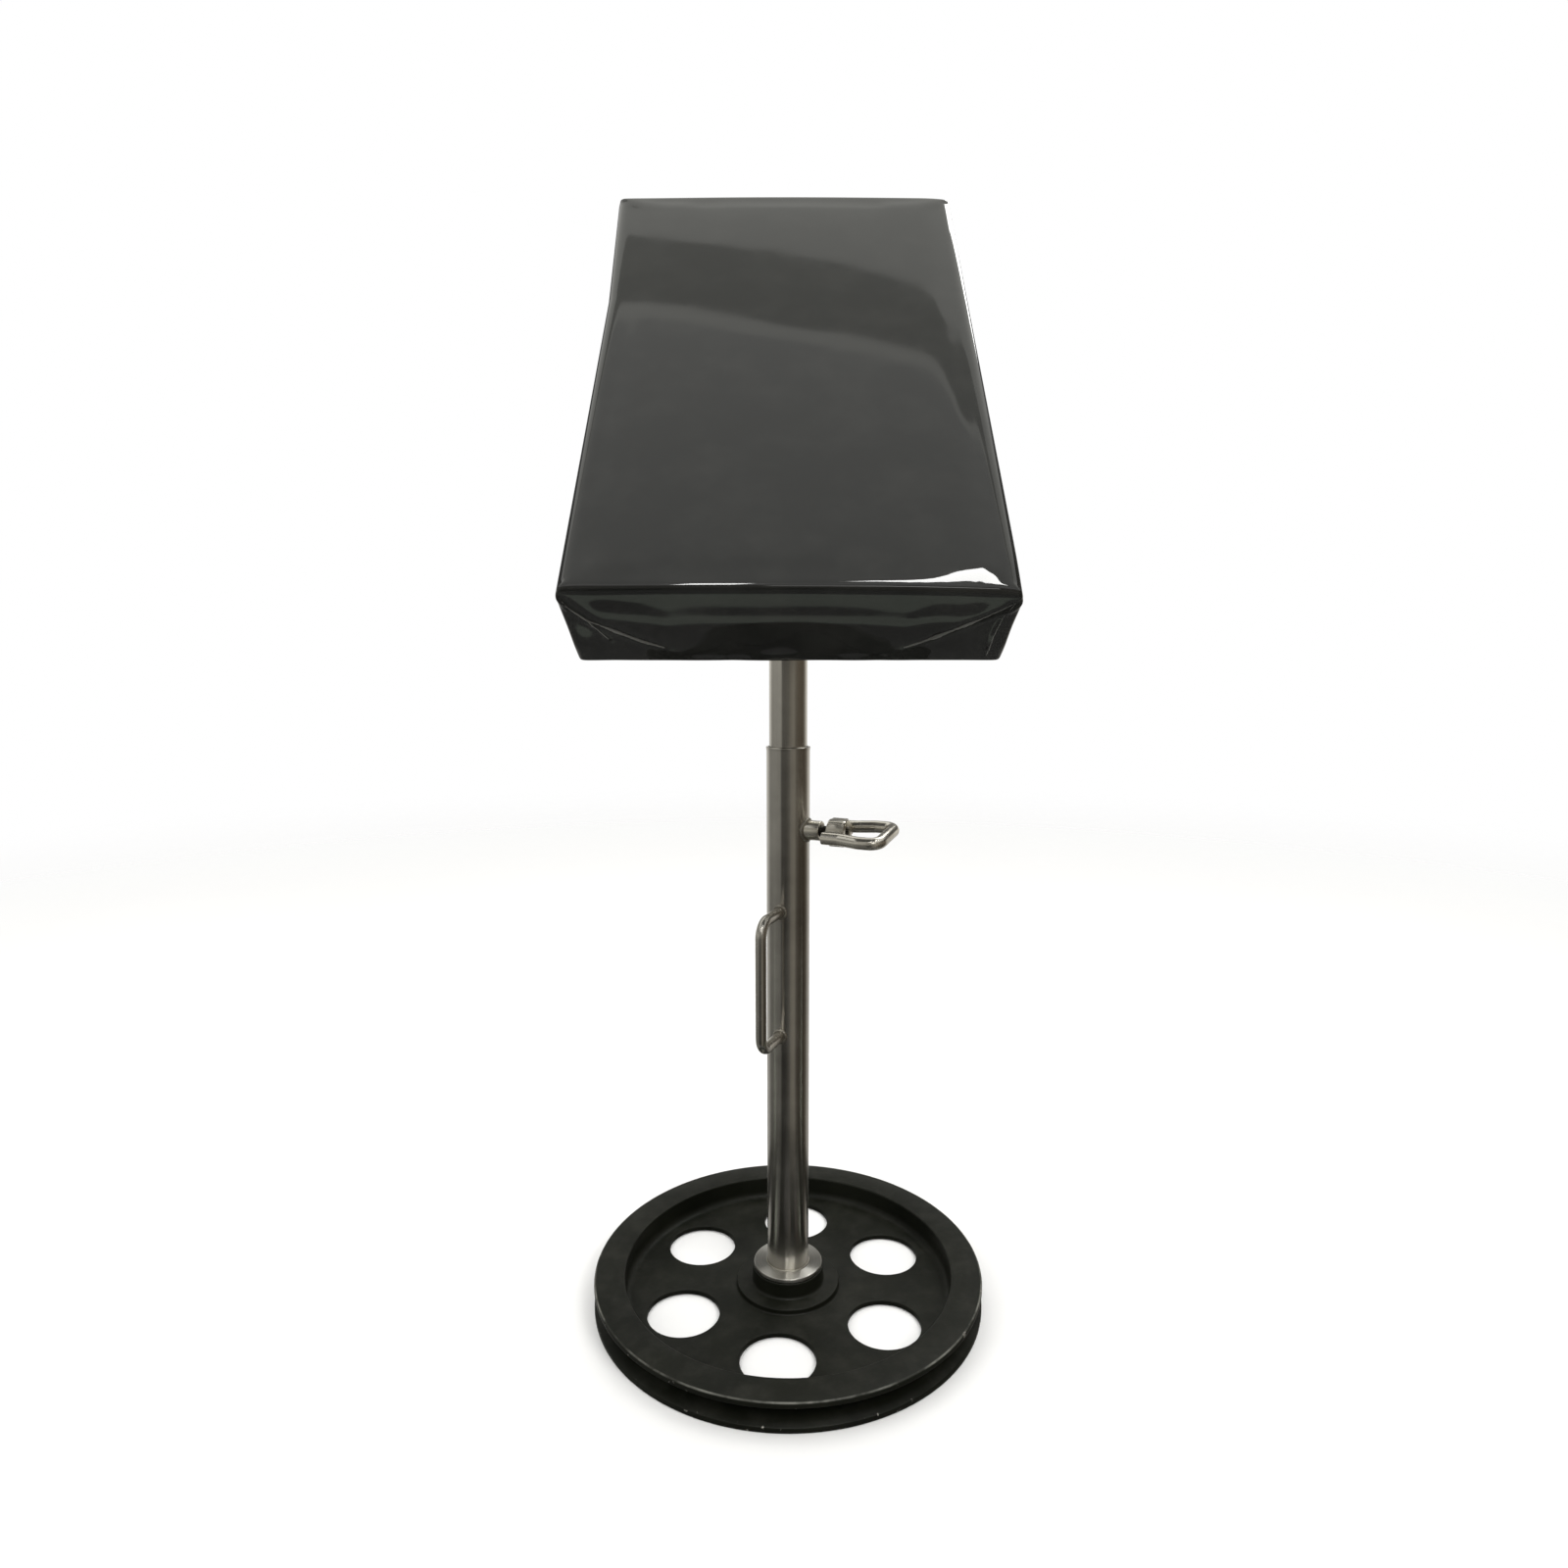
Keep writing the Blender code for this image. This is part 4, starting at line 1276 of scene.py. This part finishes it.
def pad():
    """The cover, the dust cloth under it and the staples that hold its hem."""
    cover = mesh_object("pad_cushion", pad_block(), VINYL, 180)
    inflate(cover, top_cap=0.9 * MM, wall_cap=0.5 * MM, in_cap=0.25 * MM)
    fine = cover.modifiers.new("fine", "SUBSURF")
    fine.levels = fine.render_levels = 1
    evaluated(cover)
    reshape(cover, dressing)
    reshape(cover, hem_and_foot)
    cover.data.shade_smooth()
    stands_for(cover, "pad", "vinyl", "pad_cover", "pad_foam")
    fold_edges(cover)
    dust_cloth()
    staples()


def dust_cloth():
    """A thin sheet inside the hem, a little slack between its fixings."""
    low, high = extent("pad_underlay", PAD)
    half_x, half_y = (high.x - low.x) / 2, (high.y - low.y) / 2
    mid_y = (high.y + low.y) / 2
    xs = spaced(-half_x, half_x, 6 * MM, 3 * MM, 12 * MM)
    ys = spaced(-half_y, half_y, 6 * MM, 3 * MM, 12 * MM)
    bm = box_grid(xs, ys, [low.z + 0.1 * MM, low.z + 0.55 * MM])
    for v in bm.verts:
        x, y = squircle(v.co.x, v.co.y, half_x, half_y, 4 * MM)
        slack = 0.35 * MM * wave(x * 24, y * 24, 2.0)
        v.co = (x, y + mid_y, v.co.z + slack)
    bm.transform(PAD)
    sheet = mesh_object("pad_dust_cloth", bm, CLOTH, 60)
    stands_for(sheet, "pad", "underlay", "pad_underlay")


def staples():
    """Wire staples along the hem, each a flat crown pressed into the vinyl."""
    bm = bmesh.new()
    rng = random.Random(7)
    inset = HEM * 0.62
    along_side, along_end = FOOT_HALF_L - 30 * MM, FOOT_HALF_W - 28 * MM
    places = []
    for side in (-1, 1):
        for i in range(11):
            y = PAD_MID_Y - along_side + 2 * along_side * i / 10
            places.append((side * (FOOT_HALF_W - inset), y, pi / 2))
        for i in range(6):
            x = -along_end + 2 * along_end * i / 5
            places.append((x, PAD_MID_Y + side * (FOOT_HALF_L - inset), 0))
    for x, y, turn in places:
        x += rng.uniform(-1.5, 1.5) * MM
        y += rng.uniform(-1.5, 1.5) * MM
        spin = Matrix.Rotation(turn + rng.uniform(-0.2, 0.2), 4, "Z")
        part = staple(PAD @ Matrix.Translation((x, y, PAD_FOOT - 0.05 * MM)) @ spin)
        scratch = bpy.data.meshes.new("scratch")
        part.to_mesh(scratch)
        part.free()
        bm.from_mesh(scratch)
        bpy.data.meshes.remove(scratch)
    obj = mesh_object("hem_staples", bm, ZINC, 50)
    stands_for(obj, "pad", "zinc")


def staple(matrix):
    """One staple of flat wire, its crown along X and its legs up Z."""
    half, leg = 5 * MM, 2 * MM
    half_width, half_depth = 0.55 * MM, 0.28 * MM
    sides = 8
    wire = rounded([(-half, 0, leg), (-half, 0, 0), (half, 0, 0), (half, 0, leg)], 0.5 * MM, 3)
    flat = Vector((0, 1, 0))
    rings = []
    for i, p in enumerate(wire):
        ahead = wire[min(i + 1, len(wire) - 1)] - wire[max(i - 1, 0)]
        lift = ahead.normalized().cross(flat)
        ring = []
        for k in range(sides):
            a = 2 * pi * k / sides
            ring.append(p + flat * half_width * cos(a) + lift * half_depth * sin(a))
        rings.append(ring)
    return skin(rings, matrix=matrix)


# ---- CAD nodes that show as they are


def carried_over():
    """Finishes for the CAD nodes that keep their own shape."""
    finishes = {
        "post_spigot": STEEL,
        "hub_set_screw_1": OXIDE,
        "hub_set_screw_2": OXIDE,
        "glide_plug": NYLON,
        "lock_tip": BRASS,
        "pad_board": PLYWOOD,
    }
    for node, mat in finishes.items():
        NODES[node].data.materials.clear()
        NODES[node].data.materials.append(mat)


# ---- studio


def glowing(name, colour, strength):
    """A material that gives off an even light."""
    mat = bpy.data.materials.new(name)
    mat.use_nodes = True
    tree = mat.node_tree
    tree.nodes.clear()
    light = new_node(tree, "ShaderNodeEmission", {"Color": colour, "Strength": strength})
    new_node(tree, "ShaderNodeOutputMaterial", {0: light.outputs[0]})
    return mat


def only_reflected(obj):
    """Stage an object that only glossy surfaces see."""
    obj.visible_camera = False
    obj.visible_diffuse = False
    obj.visible_shadow = False


def aimed(centre, target, axis):
    """A matrix at a centre with this axis towards a target."""
    turn = (Vector(target) - Vector(centre)).to_track_quat(axis, "Y").to_matrix().to_4x4()
    return Matrix.Translation(centre) @ turn


def card(name, centre, facing, width, height, colour, strength, slant=0.0):
    """A reflector; slant turns it about the vertical."""
    bm = bmesh.new()
    bmesh.ops.create_grid(bm, x_segments=1, y_segments=1, size=0.5)
    bm.transform(aimed(centre, facing, "Z") @ Matrix.Diagonal((width, height, 1, 1)))
    middle = Matrix.Translation(centre)
    bm.transform(middle @ Matrix.Rotation(slant, 4, "Z") @ middle.inverted())
    only_reflected(mesh_object(name, bm, glowing(name, colour, strength)))


WALL_R = 1.8
WALL_HEIGHTS = ((-1.8, 1.0), (-0.85, 1.0), (-0.35, 0.9), (0.16, 0.52), (0.55, 0.0), (0.8, 0.9), (1.6, 0.9))
WALL_BROW = 0.7
WALL_TONES = (
    (-180, 1.00, 0.99, 0.94, 0.45),
    (-134, 1.00, 0.99, 0.94, 0.45),
    (-114, 0.55, 0.54, 0.50, 0.24),
    (-62, 0.58, 0.57, 0.53, 0.24),
    (-44, 0.62, 0.61, 0.56, 0.22),
    (-35, 0.28, 0.27, 0.245, 0.10),
    (-13, 0.26, 0.25, 0.225, 0.10),
    (3, 0.26, 0.25, 0.220, 0.26),
    (16, 0.29, 0.27, 0.235, 0.66),
    (34, 0.33, 0.31, 0.265, 0.70),
    (46, 0.25, 0.225, 0.190, 0.36),
    (64, 0.20, 0.17, 0.130, 0.22),
    (90, 0.17, 0.14, 0.105, 0.22),
    (104, 0.18, 0.15, 0.115, 0.32),
    (118, 0.42, 0.39, 0.34, 0.42),
    (136, 1.00, 0.97, 0.91, 0.42),
    (180, 1.00, 0.99, 0.94, 0.42),
)


def surround():
    """A glowing wall all round, with light and dark stretches.

    Each tone has an angle in degrees, anticlockwise from the camera's side as seen from above,
    a colour, and what is left of it at the wall's foot. Each height has how much of that loss
    applies there; above the brow the wall darkens towards the back instead.
    """
    bm = bmesh.new()
    glow = bm.loops.layers.float_color.new("glow")
    rows = []
    for height, depth in WALL_HEIGHTS:
        row = []
        for angle, red, green, blue, left in WALL_TONES:
            a = radians(angle)
            lost = min(1.0, abs(angle) / 120) if height > WALL_BROW else 1 - left
            share = 1 - depth * lost
            vert = bm.verts.new((WALL_R * sin(a), -WALL_R * cos(a), height))
            row.append((vert, (red * share, green * share, blue * share, 1)))
        rows.append(row)
    for low, high in zip(rows, rows[1:]):
        for i in range(len(WALL_TONES) - 1):
            corners = (low[i], low[i + 1], high[i + 1], high[i])
            face = bm.faces.new([vert for vert, _ in corners])
            for loop, (_, tone) in zip(face.loops, corners):
                loop[glow] = tone
    mat = glowing("surround", (1, 1, 1), 1.0)
    tree = mat.node_tree
    shade_of = new_node(tree, "ShaderNodeVertexColor", layer_name="glow").outputs["Color"]
    put(tree, tree.nodes["Emission"].inputs["Color"], shade_of)
    only_reflected(mesh_object("surround", bm, mat))


def area_light(name, at, target, side, power):
    """A square lamp that no glossy surface sees."""
    light = bpy.data.lights.new(name, "AREA")
    light.shape = "RECTANGLE"
    light.size = light.size_y = side
    light.energy = power
    obj = placed(name, light)
    obj.matrix_world = aimed(at, target, "-Z")
    obj.visible_glossy = False


def floor():
    """A pale floor that fades into the background."""
    bm = bmesh.new()
    bmesh.ops.create_circle(bm, cap_ends=True, radius=4.0, segments=96)
    paint = Paint("pale_floor", roughness=0.6, Specular_IOR_Level=0.25)
    paint.colour((0.86, 0.86, 0.85))
    away = paint.add("ShaderNodeVectorMath", {0: paint.coords}, operation="LENGTH").outputs["Value"]
    span = {"Value": away, "From Min": 0.7, "From Max": 3.0}
    fade = paint.add("ShaderNodeMapRange", span, interpolation_type="SMOOTHSTEP").outputs["Result"]
    clear = paint.add("ShaderNodeBsdfTransparent").outputs[0]
    mix = paint.add("ShaderNodeMixShader", {0: fade, 1: paint.shader.outputs[0], 2: clear})
    put(paint.tree, paint.tree.nodes["Material Output"].inputs[0], mix.outputs[0])
    obj = mesh_object("floor", bm, paint.mat)
    obj.visible_glossy = False


def world():
    """White to the eye; what it lights with is brighter overhead than round the walls."""
    place = bpy.data.worlds.new("studio")
    bpy.context.scene.world = place
    place.use_nodes = True
    tree = place.node_tree
    coords = new_node(tree, "ShaderNodeTexCoord").outputs["Generated"]
    height = new_node(tree, "ShaderNodeSeparateXYZ", {0: coords}).outputs["Z"]
    span = {"Value": height, "From Min": -0.1, "From Max": 0.75, "To Min": 0.14, "To Max": 1.0}
    light = tree.nodes["Background"]
    put(tree, light.inputs["Color"], (1.0, 0.99, 0.97))
    put(tree, light.inputs["Strength"], new_node(tree, "ShaderNodeMapRange", span).outputs["Result"])
    seen = new_node(tree, "ShaderNodeBackground", {"Color": (1, 1, 1)}).outputs[0]
    to_camera = new_node(tree, "ShaderNodeLightPath").outputs["Is Camera Ray"]
    mix = new_node(tree, "ShaderNodeMixShader", {0: to_camera, 1: light.outputs[0], 2: seen})
    put(tree, tree.nodes["World Output"].inputs[0], mix.outputs[0])


def camera():
    """A short lens close to the object, level with the top of the outer tube."""
    data = bpy.data.cameras.new("camera")
    data.sensor_width = 36.0
    data.lens = 22.96
    data.clip_start = 0.02
    obj = placed("camera", data)
    obj.location = (-3.1 * MM, -730.4 * MM, 499 * MM)
    obj.rotation_euler = (radians(90 - 7.635), 0, 0)
    bpy.context.scene.camera = obj


def studio():
    """Floor, room, lights and reflector cards."""
    bpy.context.scene.view_settings.view_transform = "Standard"
    floor()
    world()
    area_light("key", (1.3, -1.5, 2.1), (0, 0, 0.6), 0.9, 24)
    area_light("fill", (-1.9, -0.9, 1.5), (0, 0, 0.5), 1.6, 14)
    area_light("top", (0.1, 0.3, 2.6), (0, 0, 0), 1.8, 26)
    slant = radians(-8)
    card("ceiling_card", (0, 0.35, 2.62), (0, 0.35, 0), 5.0, 3.6, (1, 1, 0.96), 0.76)
    card("ceiling_back", (0, 1.27, 2.61), (0, 1.27, 0), 5.0, 1.5, (1, 1, 0.94), 0.90, slant)
    card("ceiling_beam", (0, 0.44, 2.60), (0, 0.44, 0), 5.0, 0.145, (1, 1, 0.93), 0.50, slant)
    card("ceiling_strip", (0, 0.35, 2.59), (0, 0.35, 0), 5.0, 0.035, (1, 1, 0.94), 0.98, slant)
    card("window_card", (0.46, -0.72, 2.03), (0.10, -0.2, 0.53), 0.50, 0.42, (1, 1, 0.98), 22)
    card("edge_card", (-0.17, -1.25, 1.80), (-0.04, -0.2, 0.53), 0.16, 0.50, (1, 1, 0.98), 22)
    card("side_card", (0.62, 0.91, 1.60), (0.12, 0.08, 0.83), 0.36, 0.60, (1, 1, 0.98), 7)
    card("under_strip", (0, -0.135, -0.45), (0, -0.135, 1), 3.0, 0.06, (0.9, 1, 0.85), 0.55)
    card("clamp_card", (0.22, -1.17, 0.92), (0.06, -0.03, 0.37), 0.50, 0.14, (1, 1, 0.97), 3.5)
    surround()


camera()
pulley()
collar()
post()
clamp()
tilt_joint()
pad()
carried_over()
studio()
